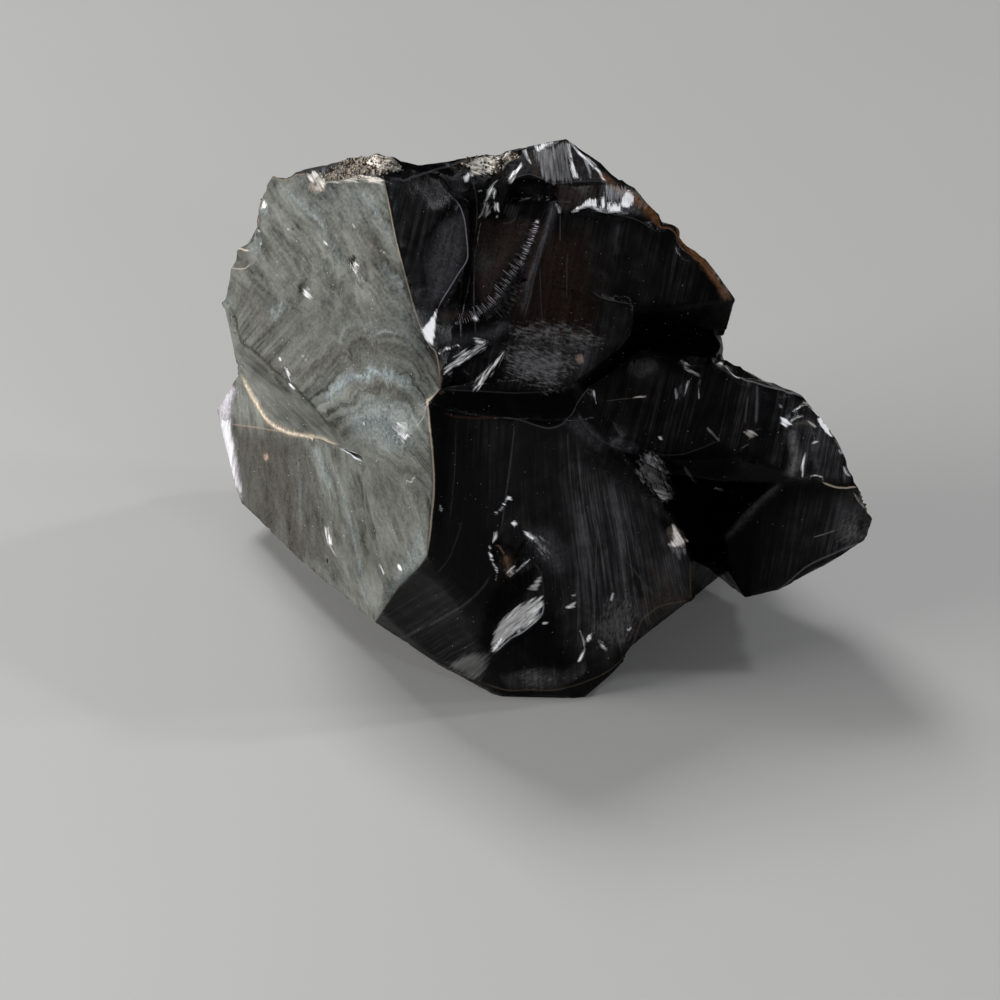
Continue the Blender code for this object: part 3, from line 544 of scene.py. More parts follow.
gleams = {
    # painted highlights and glints standing in for light on the stone, and a few pale marks of its own
    # (crust, cream chips, dust); all of them glow a little. Points, half width (0 for a closed outline), how
    # soft the edge is, brightness, warmth, the direction of its streaks in degrees and their strength
    "highlight": (((437, 309), (436, 322), (435, 335), (433, 346), (427, 340), (421, 330), (430, 321),
        (434, 314)), 0, 1.2, 1, 0.0, 60, 0.15),
    "highlightGlow": (((414, 306), (418, 318), (424, 331)), 2.5, 4, 0.4, 0.0, 70, 0.5),
    "crownA": (((465, 182), (464, 177), (468, 173), (470, 174), (468, 182)), 0, 1, 0.9, 0.0, 80, 0.3),
    "crownB": (((508, 184), (509, 179), (513, 172), (521, 163), (522, 166), (516, 173), (513, 179),
        (512, 183)), 0, 1.3, 0.85, 0.1, -60, 0.9),
    "crownC": (((502, 170), (505, 164), (511, 160), (519, 156)), 0.7, 1, 0.8, 0.3, -40, 0.4),
    "crownD": (((487, 190), (495, 185), (494, 190), (490, 197), (487, 203), (484, 204), (487, 197)),
        0, 1.3, 0.85, 0.0, 110, 0.9),
    "crownDTop": (((490, 189), (494, 184), (499, 180)), 0.7, 1, 0.8, 0.0, -45, 0.3),
    "crownE": (((494, 189), (496, 190), (495, 200), (493, 200)), 0, 1, 0.9, 0.0, 90, 0.4),
    "crownF": (((486, 205), (491, 206), (488, 213), (484, 217), (479, 218), (483, 212)),
        0, 1.3, 0.85, 0.0, 120, 0.9),
    "crownG": (((495, 203), (499, 204), (499, 210), (495, 210)), 0, 1, 0.85, 0.0, 90, 0.6),
    "crownH": (((496, 217), (498, 215)), 0.9, 1, 0.9, 0.0, 90, 0.2),
    "crownDot": (((479, 191), (482, 191)), 0.7, 1, 0.8, 0.0, 0, 0.2),
    "fanTriangle": (((522, 150), (526, 149), (528, 158), (531, 163), (527, 160)), 0, 1.2, 0.75, 0.0, 70, 0.5),
    "fanTop": (((533, 146), (545, 143), (557, 141), (546, 147), (538, 153)), 0, 1.5, 0.85, 0.0, 80, 0.9),
    "fanFloor": (((535, 150), (566, 143), (572, 180), (556, 182), (546, 180), (540, 168)),
        0, 2, 0.42, 0.1, 86, 1.6),
    "fanRib": (((567, 143), (570, 143), (573, 160), (578, 178), (573, 178), (570, 160)),
        0, 1, 0.95, 0.0, 80, 0.7),
    "fanRibTwo": (((583, 158), (588, 167), (591, 178)), 1.0, 1, 0.7, 0.0, 70, 0.6),
    "fanEdge": (((570, 142), (580, 151), (590, 160), (600, 170), (605, 181), (602, 181), (598, 172),
        (588, 163), (578, 153)), 0, 1, 0.95, 0.0, 45, 0.5),
    "stepOne": (((572, 212), (583, 203), (590, 199), (597, 199), (597, 206), (585, 207)),
        0, 1, 1, 0.0, 88, 1.3),
    "stepTwo": (((600, 198), (604, 197), (605, 207), (600, 209)), 0, 1, 1, 0.0, 88, 1.3),
    "stepThree": (((608, 203), (612, 201), (613, 206), (616, 201), (618, 206), (622, 204), (622, 211),
        (608, 211)), 0, 1, 1, 0.0, 88, 1.3),
    "stepFour": (((621, 206), (624, 192), (630, 190), (634, 196), (634, 206), (628, 207)),
        0, 1, 1, 0.0, 88, 1.3),
    "stepLip": (((572, 213), (583, 207), (590, 206), (600, 210), (612, 213), (628, 214)),
        1.1, 1, 0.75, 0.0, 10, 0.7),
    "stepRibs": (((604, 184), (625, 186), (634, 195), (622, 200), (606, 200)), 0, 2.5, 0.52, 0.0, 88, 1.2),
    "stepDots": (((556, 203), (559, 208), (560, 212)), 1.2, 1, 0.6, 0.0, 70, 1.5),
    "streakLow": (((445, 371), (450, 363), (462, 355), (475, 348), (485, 345), (484, 349), (470, 358),
        (458, 366), (449, 374)), 0, 2.2, 0.74, 0.0, -32, 1.8),
    "streakDots": (((440, 353), (448, 348), (460, 345)), 1.0, 1, 0.85, 0.0, 60, 1.6),
    "streakRight": (((472, 390), (480, 378), (490, 365), (505, 351), (499, 362), (488, 376), (478, 389)),
        0, 1.8, 0.74, 0.1, -55, 1.5),
    "knot": (((472, 318), (475, 316), (479, 319), (476, 321)), 0, 1, 1, 0.0, 0, 0.2),
    "sparkCluster": (((474, 338), (480, 341), (486, 341)), 2.2, 1, 0.7, 0.0, 10, 1.8),
    "arcTop": (((536, 221), (538, 223)), 1.0, 1, 1, 0.2, 0, 0.2),
    "arcBandTop": (((536, 224), (532, 236), (526, 249), (520, 260)), 2.0, 3, 0.30, 0.0, "across", 1.4),
    "arcBand": (((526, 247), (520, 260), (511, 275), (502, 289)), 4.2, 3, 0.24, 0.0, "across", 1.6),
    "arcBandLow": (((510, 280), (501, 293), (490, 305), (477, 315)), 4.5, 4, 0.22, 0.0, "across", 1.6),
    "arcBandWide": (((523, 268), (518, 284), (508, 300), (492, 316)), 4.0, 5, 0.18, 0.0, "across", 1.6),
    "cloudOne": (((515, 331), (545, 326), (568, 328), (590, 334), (600, 342), (580, 344), (555, 340),
        (530, 343)), 0, 9, 0.35, 0.1, 12, 0.9),
    "cloudTwo": (((508, 352), (530, 348), (560, 352), (575, 362), (560, 376), (552, 388), (530, 378),
        (512, 370)), 0, 9, 0.36, 0.1, 16, 0.9),
    "prowGlint": (((513, 524), (516, 521), (519, 525), (516, 528)), 0, 1, 1, 0.0, 0, 0.2),
    "clusterRight": (((522, 530), (528, 532), (536, 538), (533, 541), (526, 536)), 0, 1, 0.95, 0.0, 35, 0.5),
    "clusterTail": (((534, 538), (540, 545), (546, 555)), 2.2, 4, 0.45, 0.0, 45, 1.6),
    "clusterLeft": (((494, 533), (497, 531), (498, 540), (493, 544)), 0, 1, 0.75, 0.0, 95, 0.8),
    "clusterDots": (((490, 548), (492, 560), (497, 572), (496, 580)), 0.9, 1, 0.75, 0.0, 20, 1.8),
    "clusterLow": (((510, 577), (517, 571), (525, 564), (530, 560)), 0.9, 1, 0.9, 0.0, -40, 0.6),
    "clusterNotch": (((508, 574), (512, 570), (514, 566)), 0.7, 1, 0.7, 0.1, -40, 0.8),
    "triangle": (((528, 589), (534, 582), (541, 576), (540, 584), (537, 591)), 0, 1.3, 0.65, 0.3, 0, 0.6),
    "leafBody": (((492, 652), (491, 644), (495, 632), (503, 619), (514, 609), (528, 601), (542, 597),
        (543, 606), (538, 617), (526, 628), (512, 638), (500, 647)), 0, 1.5, 0.7, 0.1, -42, 0.9),
    "leafBright": (((492, 652), (497, 638), (505, 630), (510, 632), (504, 642), (496, 650)),
        0, 1, 1.0, 0.0, -50, 0.4),
    "leafSpot": (((527, 612), (532, 612), (532, 618), (526, 618)), 0, 1, 1, 0.1, 0, 0.1),
    "leafVein": (((519, 621), (521, 627), (519, 634)), 0.9, 1, 0.8, 0.0, 90, 0.4),
    "leafLine": (((497, 634), (506, 619), (519, 608), (536, 600)), 0.7, 1, 0.75, 0.0, -45, 0.4),
    "creamChip": (((673, 524), (677, 529), (682, 537), (687, 541), (682, 546), (672, 547), (667, 545),
        (674, 539)), 0, 1.5, 0.85, 0.6, 60, 0.5),
    "creamChipBelow": (((672, 549), (682, 547), (686, 552), (680, 556)), 0, 3, 0.4, 0.0, 80, 1.0),
    "lowGlintOne": (((566, 608), (571, 604), (576, 602), (575, 607), (570, 609)), 0, 1, 0.9, 0.1, 0, 0.6),
    "lowGlintTwo": (((610, 600), (612, 593), (614, 593), (612, 600)), 0, 1, 0.9, 0.0, 90, 0.3),
    "lowGlintThree": (((586, 642), (588, 636), (592, 634), (592, 641), (588, 644)), 0, 1, 0.95, 0.0, 60, 0.3),
    "lowGlintFour": (((577, 662), (580, 656), (586, 650), (584, 657), (580, 662)), 0, 1, 0.95, 0.0, -50, 0.4),
    "lowGlintFive": (((580, 631), (583, 640), (586, 650)), 0.8, 1, 0.75, 0.2, 80, 0.6),
    "lowGlintSix": (((600, 643), (604, 648), (606, 650)), 1.3, 1, 0.8, 0.1, 30, 1.2),
    "lowGlintSeven": (((627, 631), (631, 628)), 1.2, 1, 0.9, 0.0, -40, 0.2),
    "lowGlintEight": (((543, 624), (548, 623)), 0.8, 1, 0.8, 0.3, 0, 0.4),
    "lowGlintNine": (((572, 596), (577, 594)), 0.8, 1, 0.6, 0.4, 0, 0.6),
    "lowSpray": (((596, 628), (610, 606), (628, 600), (636, 618), (628, 638), (606, 644)),
        0, 8, 0.26, 0.2, -75, 0.9),
    "underPale": (((466, 654), (488, 654), (488, 664), (480, 681), (462, 674), (450, 664)),
        0, 3, 0.32, 0.2, -40, 0.5),
    "lowSprayTwo": (((520, 680), (532, 674), (548, 678), (540, 686)), 0, 5, 0.24, 0.2, -20, 0.9),
    "bowlEyeRim": (((681, 361), (685, 368), (693, 372), (700, 376)), 0.7, 1, 0.7, 0.2, 30, 0.6),
    "bowlEyeShine": (((683, 360), (688, 361), (691, 366), (686, 366)), 0, 1, 0.6, 0.0, 20, 1.2),
    "bowlGlint": (((717, 363), (721, 358), (725, 358), (722, 364)), 0, 1, 0.85, 0.0, 0, 0.5),
    "bowlRim": (((725, 364), (731, 371), (739, 375)), 1.4, 1.2, 0.6, 0.1, 40, 1.4),
    "bowlStreakOne": (((689, 380), (686, 388), (684, 396)), 1.1, 1, 0.8, 0.0, 95, 0.8),
    "bowlStreakTwo": (((676, 388), (677, 398)), 1.0, 1, 0.6, 0.0, 85, 0.8),
    "bowlStreakThree": (((700, 380), (699, 398)), 0.8, 1, 0.65, 0.0, 90, 0.8),
    "bowlStreakFour": (((594, 391), (596, 403)), 0.9, 1, 0.75, 0.0, 85, 0.8),
    "bowlStreakFive": (((708, 428), (714, 436), (719, 441)), 0.9, 1.5, 0.6, 0.0, 50, 0.8),
    "bowlScratchPale": (((631, 399), (638, 397), (646, 396)), 0.9, 1, 0.8, 0.9, 0, 0.4),
    "bowlDot": (((659, 437), (662, 439)), 1.5, 1, 0.9, 0.4, 0, 0.3),
    "bowlCloud": (((640, 460), (650, 456), (658, 460), (664, 472), (672, 492), (668, 500), (658, 496),
        (648, 484), (638, 474)), 0, 4, 0.5, 0.0, 60, 0.8),
    "bowlCloudLow": (((652, 488), (668, 488), (672, 498), (662, 501)), 0, 1.5, 0.6, 0.0, 20, 1.4),
    "bowlTan": (((744, 432), (750, 438), (757, 436), (752, 430)), 0, 1, 0.6, 0.7, 30, 1.2),
    "recessTan": (((715, 489), (723, 490)), 1.3, 1, 0.5, 0.7, 0, 0.8),
    "recessGlint": (((690, 477), (695, 482)), 1.0, 1, 0.5, 0.0, 40, 0.5),
    "tipOne": (((780, 417), (786, 419), (792, 424), (786, 427), (781, 424)), 0, 1, 0.85, 0.0, 30, 1.2),
    "tipTwo": (((794, 411), (802, 406), (808, 402)), 1.1, 1, 0.9, 0.0, -30, 0.6),
    "tipThree": (((791, 421), (797, 417), (803, 416)), 1.0, 1, 0.8, 0.0, -20, 0.8),
    "tipFour": (((808, 420), (813, 424), (816, 428)), 1.2, 1, 0.7, 0.2, 40, 1.0),
    "tipFive": (((817, 419), (821, 417), (827, 424), (833, 433), (832, 437), (826, 432), (820, 425)),
        0, 1, 1, 0.0, 50, 0.2),
    "tipSix": (((813, 443), (818, 441)), 1.4, 1, 0.85, 0.0, 0, 0.3),
    "tipSeven": (((779, 405), (782, 408)), 1.5, 1, 0.7, 0.0, 0, 0.4),
    "tipEight": (((803, 401), (812, 408), (818, 416)), 0.9, 1, 0.7, 0.2, 45, 1.4),
    "tipLine": (((806, 453), (803, 464), (802, 476)), 0.9, 1, 0.8, 0.0, 95, 0.6),
    "tipEye": (((810, 480), (813, 476), (820, 476), (823, 480)), 0.8, 1, 0.8, 0.3, 0, 0.6),
    "tipEdgeDot": (((839, 450), (842, 454)), 1.0, 1, 0.8, 0.0, 60, 0.4),
    "tipEdgeDotTwo": (((846, 466), (850, 474)), 0.8, 1, 0.6, 0.0, 60, 0.8),
    "tipCorner": (((855, 495), (860, 501), (865, 508)), 1.3, 1, 0.6, 0.3, 60, 1.2),
    "facetShine": (((838, 540), (846, 526), (856, 516), (862, 536), (850, 544)), 0, 6, 0.24, 0.3, -50, 1.0),
    "dustTrail": (((496, 512), (502, 508), (508, 498), (511, 500)), 0.8, 1, 0.8, 0.0, 20, 2.2),
    "dustTrailTwo": (((440, 505), (442, 512)), 0.9, 1, 0.7, 0.0, 0, 0.8),
    # left face
    "glintOne": (((279, 357), (280.5, 361)), 0.9, 1, 0.95, 0.0, 90, 0.1),
    "glintTwo": (((284, 367), (288, 374), (290, 381)), 0.7, 1, 0.85, 0.0, 60, 0.5),
    "glintThree": (((289, 383), (294, 389)), 0.6, 1, 0.85, 0.0, 50, 0.4),
    "glintFour": (((301, 355), (307, 362)), 0.5, 1, 0.85, 0.0, 50, 0.4),
    "glintFive": (((399, 427), (402, 431), (405, 437)), 1.8, 2, 0.7, 0.1, 50, 1.2),
    "glintSix": (((365, 423), (366, 426)), 0.8, 1, 0.9, 0.0, 60, 0.3),
    "glintSeven": (((328, 528), (328, 536), (330, 544)), 1.5, 2, 0.8, 0.1, 85, 0.8),
    "glintEight": (((330, 544), (333, 551), (337, 557)), 0.7, 1, 0.6, 0.0, 60, 0.6),
    "glintNine": (((379, 564), (384, 574)), 0.6, 1, 0.75, 0.0, 70, 0.4),
    "glintTen": (((398, 565), (401, 570)), 1.3, 1, 0.95, 0.0, 60, 0.2),
    "scratch": (((408, 436), (417, 420), (427, 407), (432, 401)), 0.45, 1, 0.6, 0.0, -60, 0.6),
    "hair": (((406, 485), (411, 484), (414, 477)), 0.45, 1, 0.65, 0.0, 0, 0.4),
    "slantGlint": (((323, 241), (327, 246)), 0.9, 1, 0.8, 0.0, 50, 0.4),
    "slantGlintTwo": (((381, 249), (385, 254)), 1.0, 1, 0.75, 0.2, 50, 0.9),
    "slantGlintThree": (((352, 224), (354, 228)), 0.7, 1, 0.7, 0.6, 60, 0.4),
    "slantGlintFour": (((287, 229), (289, 230)), 0.9, 1, 0.8, 0.2, 0, 0.3),
    "pitOneShine": (((305, 291), (308, 289), (311, 291), (312, 297), (307, 295)), 0, 1.5, 0.75, 0.1, 40, 0.6),
    "pitTwoShine": (((350, 266), (354, 263), (359, 265), (354, 271)), 0, 1.5, 0.65, 0.3, 40, 0.8),
    "pitTwoTail": (((355, 270), (359, 278), (362, 284)), 0.8, 2, 0.5, 0.2, 60, 1.6),
    "edgeChipTop": (((261, 202), (265, 199), (266, 206), (261, 208)), 0, 1, 0.9, 0.2, 90, 0.5),
    "edgeChipTwo": (((256, 228), (257, 230)), 0.9, 1, 0.8, 0.0, 90, 0.3),
    "edgeChipThree": (((256, 241), (258, 243)), 1.0, 1, 0.8, 0.0, 90, 0.3),
    "edgeChipFour": (((267, 184), (265, 191)), 0.9, 1, 0.75, 0.2, 100, 1.4),
    "edgeChipFive": (((229, 264), (231, 261)), 1.3, 1, 0.85, 0.2, 90, 0.3),
    "sideTip": (((221, 304), (224, 305)), 1.0, 1, 0.6, 0.5, 0, 0.3),
    "crustChip": (((307, 174), (318, 171), (324, 176), (325, 184), (321, 191), (316, 191), (312, 187),
        (316, 183), (309, 179)), 0, 1.5, 0.62, 0.5, 60, 1.2),
    "crustRim": (((326, 181), (340, 180), (352, 177), (366, 175), (382, 178), (383, 183), (366, 180),
        (350, 181), (336, 184)), 0, 1.5, 0.55, 0.7, 10, 1.5),
    "crustTop": (((366, 158), (376, 154), (386, 158), (392, 168), (386, 171), (376, 166), (368, 164)),
        0, 1.5, 0.7, 0.7, 20, 2.0),
    "crustTopTwo": (((390, 168), (396, 168), (401, 170), (396, 171)), 0, 1, 0.7, 0.6, 20, 0.8),
    "crustRightPale": (((466, 164), (474, 159), (498, 154), (499, 158), (494, 168), (490, 173),
        (480, 174), (472, 176), (470, 169)), 0, 1, 0.8, 0.7, 20, 1.4),
    "crustRightTwo": (((503, 158), (506, 152), (511, 151), (509, 157), (504, 160)), 0, 1, 0.7, 0.5, -50, 0.8),
    "bevelShine": (((217, 408), (224, 396), (232, 386), (234, 392), (228, 404), (227, 425), (222, 425)),
        0, 2, 0.45, 0.1, 100, 0.4),
    "bevelBright": (((219, 416), (229, 420), (232, 440), (236, 466), (241, 492), (234, 486), (226, 460)),
        0, 2.5, 0.72, 0.0, 95, 0.35),
}

dents = {
    # x, y, half length and half width in frame units, roll in degrees, depth in mm, tint, how strong
    # a dent tinted ink has painted shade in it
    "leafBed": (517, 626, 34, 15, -47, 0.5, "ink", 0.0),
    "clusterTop": (510, 530, 17, 10, -55, 0.55, "veil", 0.5),
    "clusterLeft": (497, 548, 15, 9, -80, 0.5, "ink", 0.5),
    "clusterMiddle": (508, 562, 13, 8, -70, 0.6, "brown", 0.7),
    "clusterRight": (527, 552, 18, 10, -60, 0.55, "ink", 0.4),
    "clusterLow": (520, 574, 14, 6, -40, 0.35, "veil", 0.5),
    "clusterPlume": (548, 545, 24, 14, 30, 0.3, "mist", 0.5),
    "lowRight": (590, 646, 18, 9, -60, 0.45, "veil", 0.45),
    "lowRightTwo": (566, 612, 14, 7, -30, 0.4, "veil", 0.6),
    "lowRightThree": (606, 642, 10, 7, 40, 0.35, "veil", 0.45),
    "lowFront": (535, 678, 34, 10, -5, 0.4, "veil", 0.7),
    "lowFrontTwo": (575, 672, 18, 8, -35, 0.35, "veil", 0.6),
    "rightWall": (676, 536, 12, 8, 50, 0.35, "cream", 0.2),
    "crownOne": (487, 200, 14, 8, -75, 0.45, "veil", 0.55),
    "crownTwo": (497, 205, 14, 5, -85, 0.4, "veil", 0.55),
    "crownThree": (513, 208, 12, 9, -60, 0.35, "veil", 0.7),
    "crownFour": (500, 180, 16, 7, -40, 0.35, "veil", 0.7),
    "fanOne": (515, 167, 13, 6, -50, 0.2, "veil", 0.55),
    "fanTwo": (546, 164, 14, 8, -80, 0.15, "veil", 0.8),
    "fanThree": (583, 168, 15, 6, 50, 0.15, "veil", 0.6),
    "stepOne": (595, 198, 13, 8, 80, 0.3, "veil", 1.3),
    "stepTwo": (612, 200, 12, 7, 85, 0.3, "veil", 1.3),
    "stepThree": (627, 201, 12, 7, 85, 0.3, "veil", 1.3),
    "streakOne": (462, 362, 26, 5, -33, 0.3, "veil", 0.4),
    "streakTwo": (488, 370, 26, 5, -52, 0.3, "veil", 0.35),
    "streakThree": (458, 345, 20, 5, -12, 0.25, "veil", 0.6),
    "armRimOne": (795, 412, 16, 9, -25, 0.4, "veil", 0.5),
    "armRimTwo": (826, 428, 13, 5, 45, 0.3, "veil", 0.75),
    "armRimThree": (812, 448, 20, 8, 80, 0.35, "veil", 0.8),
    "armRimFour": (836, 462, 18, 8, 65, 0.35, "veil", 0.8),
    "armEye": (815, 478, 8, 4, 0, 0.3, "veil", 0.4),
    "bowlEye": (694, 360, 16, 8, -15, 0.45, "veil", 0.45),
    "bowlEyeTwo": (684, 392, 12, 6, -70, 0.3, "veil", 0.45),
    "bowlEdge": (720, 360, 9, 6, 40, 0.35, "veil", 0.55),
    "bowlEdgeTwo": (740, 378, 16, 6, 30, 0.3, "veil", 0.45),
    "bowlLow": (626, 446, 15, 7, 10, 0.35, "mist", 0.6),
    "bowlLowTwo": (585, 430, 18, 9, 40, 0.4, "mist", 0.5),
    "tipOne": (858, 500, 14, 8, 60, 0.35, "veil", 0.8),
    "tipTwo": (862, 528, 9, 6, 80, 0.35, "ink", 0.4),
    "tipThree": (846, 545, 16, 6, -25, 0.3, "veil", 0.6),
    "leftNotch": (252, 244, 12, 8, 60, 0.5, "skyGrey", 0.3),
    "leftNotchTwo": (262, 205, 12, 6, 75, 0.4, "skyGrey", 0.5),
    "leftNotchThree": (238, 262, 12, 9, 0, 0.2, "umber", 0.2),
    "leftNotchFour": (226, 300, 9, 5, 70, 0.3, "skyGrey", 0.3),
    "leftRound": (317, 186, 9, 8, 0, 0.3, "cream", 0.25),
}

softened = {
    # creases that are smoothed over, and how far either side in frame units
    "leftFold": (((384, 195), (396, 300), (405, 380), (405, 430)), 34),
    "leftMiddle": (((340, 300), (360, 420), (400, 500)), 60),
}


def outlineSpots(outline, apart=3):
    # points along a closed outline and, where it is small, inside it
    ring = np.array(tuple(outline) + (outline[0],), float)
    made = []
    for a, b in zip(ring[:-1], ring[1:]):
        made += [a + (b - a) * t for t in np.arange(0, 1, apart / (apart + np.linalg.norm(b - a)))]
    low, high = ring.min(0), ring.max(0)
    if (high - low).max() < stone["filledOutline"]:
        x, y = np.meshgrid(np.arange(low[0], high[0], apart), np.arange(low[1], high[1], apart))
        inner = np.column_stack([x.ravel(), y.ravel()])
        made += list(inner[insideDepth(inner, outline) > 0])
    return made


def withEdge(spots, edge):
    return np.column_stack([spots, np.full(len(spots), edge)])


def allDrawnPoints():
    # where the mesh has to be fine: frame x, y and the longest edge wanted
    coarse, fine = stone["lineEdge"], stone["drawnEdge"]
    spots = [withEdge(smoothLine(path, 8), coarse) for path, *look in lines.values()]
    for outline, edge, high, *look in patches.values():
        if high:
            spots.append(withEdge(smoothLine(tuple(outline) + (outline[0],), 4), coarse))
    for points, wide, *look in gleams.values():
        spots.append(withEdge(smoothLine(points, 6) if wide else np.array(outlineSpots(points)), fine))
    for x, y, longHalf, wideHalf, roll, *look in dents.values():
        turn = np.linspace(0, 2 * pi, 24)
        first, second = longHalf * np.cos(turn), wideHalf * np.sin(turn)
        slope = radians(roll)
        right = x + first * cos(slope) - second * sin(slope)
        below = y + first * sin(slope) + second * cos(slope)
        spots.append(withEdge(np.column_stack([right, below]), coarse))
    return np.vstack(spots)


nudges = (
    # outline corners pulled out or in: frame x, y, shift right and down in frame units, reach in mm
    (268, 182, -1, -2, 1.6), (262, 200, -2, 2, 1.5), (256, 222, 2, 2, 1.6), (255, 238, 4, 2, 1.8),
    (240, 248, -2, -2, 1.6), (229, 262, -2, 0, 1.6), (222, 302, -3, 0, 1.2), (232, 322, 2, 0, 1.6),
    (236, 345, 1, 0, 1.6), (376, 154, 1, -2, 2.0), (392, 163, 2, -3, 1.2), (350, 160, 0, -1, 1.6),
    (672, 230, 3, -2, 1.6), (664, 222, -3, 3, 1.2), (865, 522, 2, 0, 1.4), (858, 490, 2, 0, 1.2),
    (846, 470, -2, 2, 1.5), (650, 616, 0, 3, 1.5), (690, 600, 2, 2, 1.4), (330, 575, 0, 2, 1.4),
    (318, 568, -1, -2, 1.5), (300, 562, 0, 1, 1.5), (716, 346, 5, 0, 2.0), (744, 370, -3, 8, 2.6),
    (730, 362, -2, 5, 1.8), (762, 378, 0, 5, 2.2), (780, 386, 0, 2, 2.0), (246, 232, 8, 0, 2.3),
    (240, 242, 5, 3, 1.6), (254, 218, 4, 0, 1.6),
)


def pullOutline(points, spots, seen):
    across, upward = cameraAxes()[1:]
    moved = np.zeros((len(points), 3))
    inSight = np.where(seen)[0]
    for x, y, right, below, reach in nudges:
        nearest = inSight[np.argmin(np.hypot(spots[inSight, 0] - x, spots[inSight, 1] - y))]
        away = np.linalg.norm(points - points[nearest], axis=1)
        weight = np.clip(1 - (away / reach) ** 2, 0, 1) ** 1.5
        moved += weight[:, None] * (right * across - below * upward) * frameUnit
    return moved


def signedDistance(spots, line):
    # distance to the line, signed by its side, and how far along the line: in frame units, and from 0 to 1
    best = np.full(len(spots), 1e9)
    signed = np.zeros(len(spots))
    along = np.zeros(len(spots))
    gone = 0.0
    for a, b in zip(line[:-1], line[1:]):
        step = b - a
        size = max(np.linalg.norm(step), 1e-9)
        away = spots - a
        t = np.clip((away @ step) / size**2, 0, 1)
        d = np.linalg.norm(away - t[:, None] * step, axis=1)
        side = np.sign(step[0] * away[:, 1] - step[1] * away[:, 0])
        closer = d < best
        best[closer] = d[closer]
        signed[closer] = (d * side)[closer]
        along[closer] = gone + t[closer] * size
        gone += size
    return signed, along, along / gone


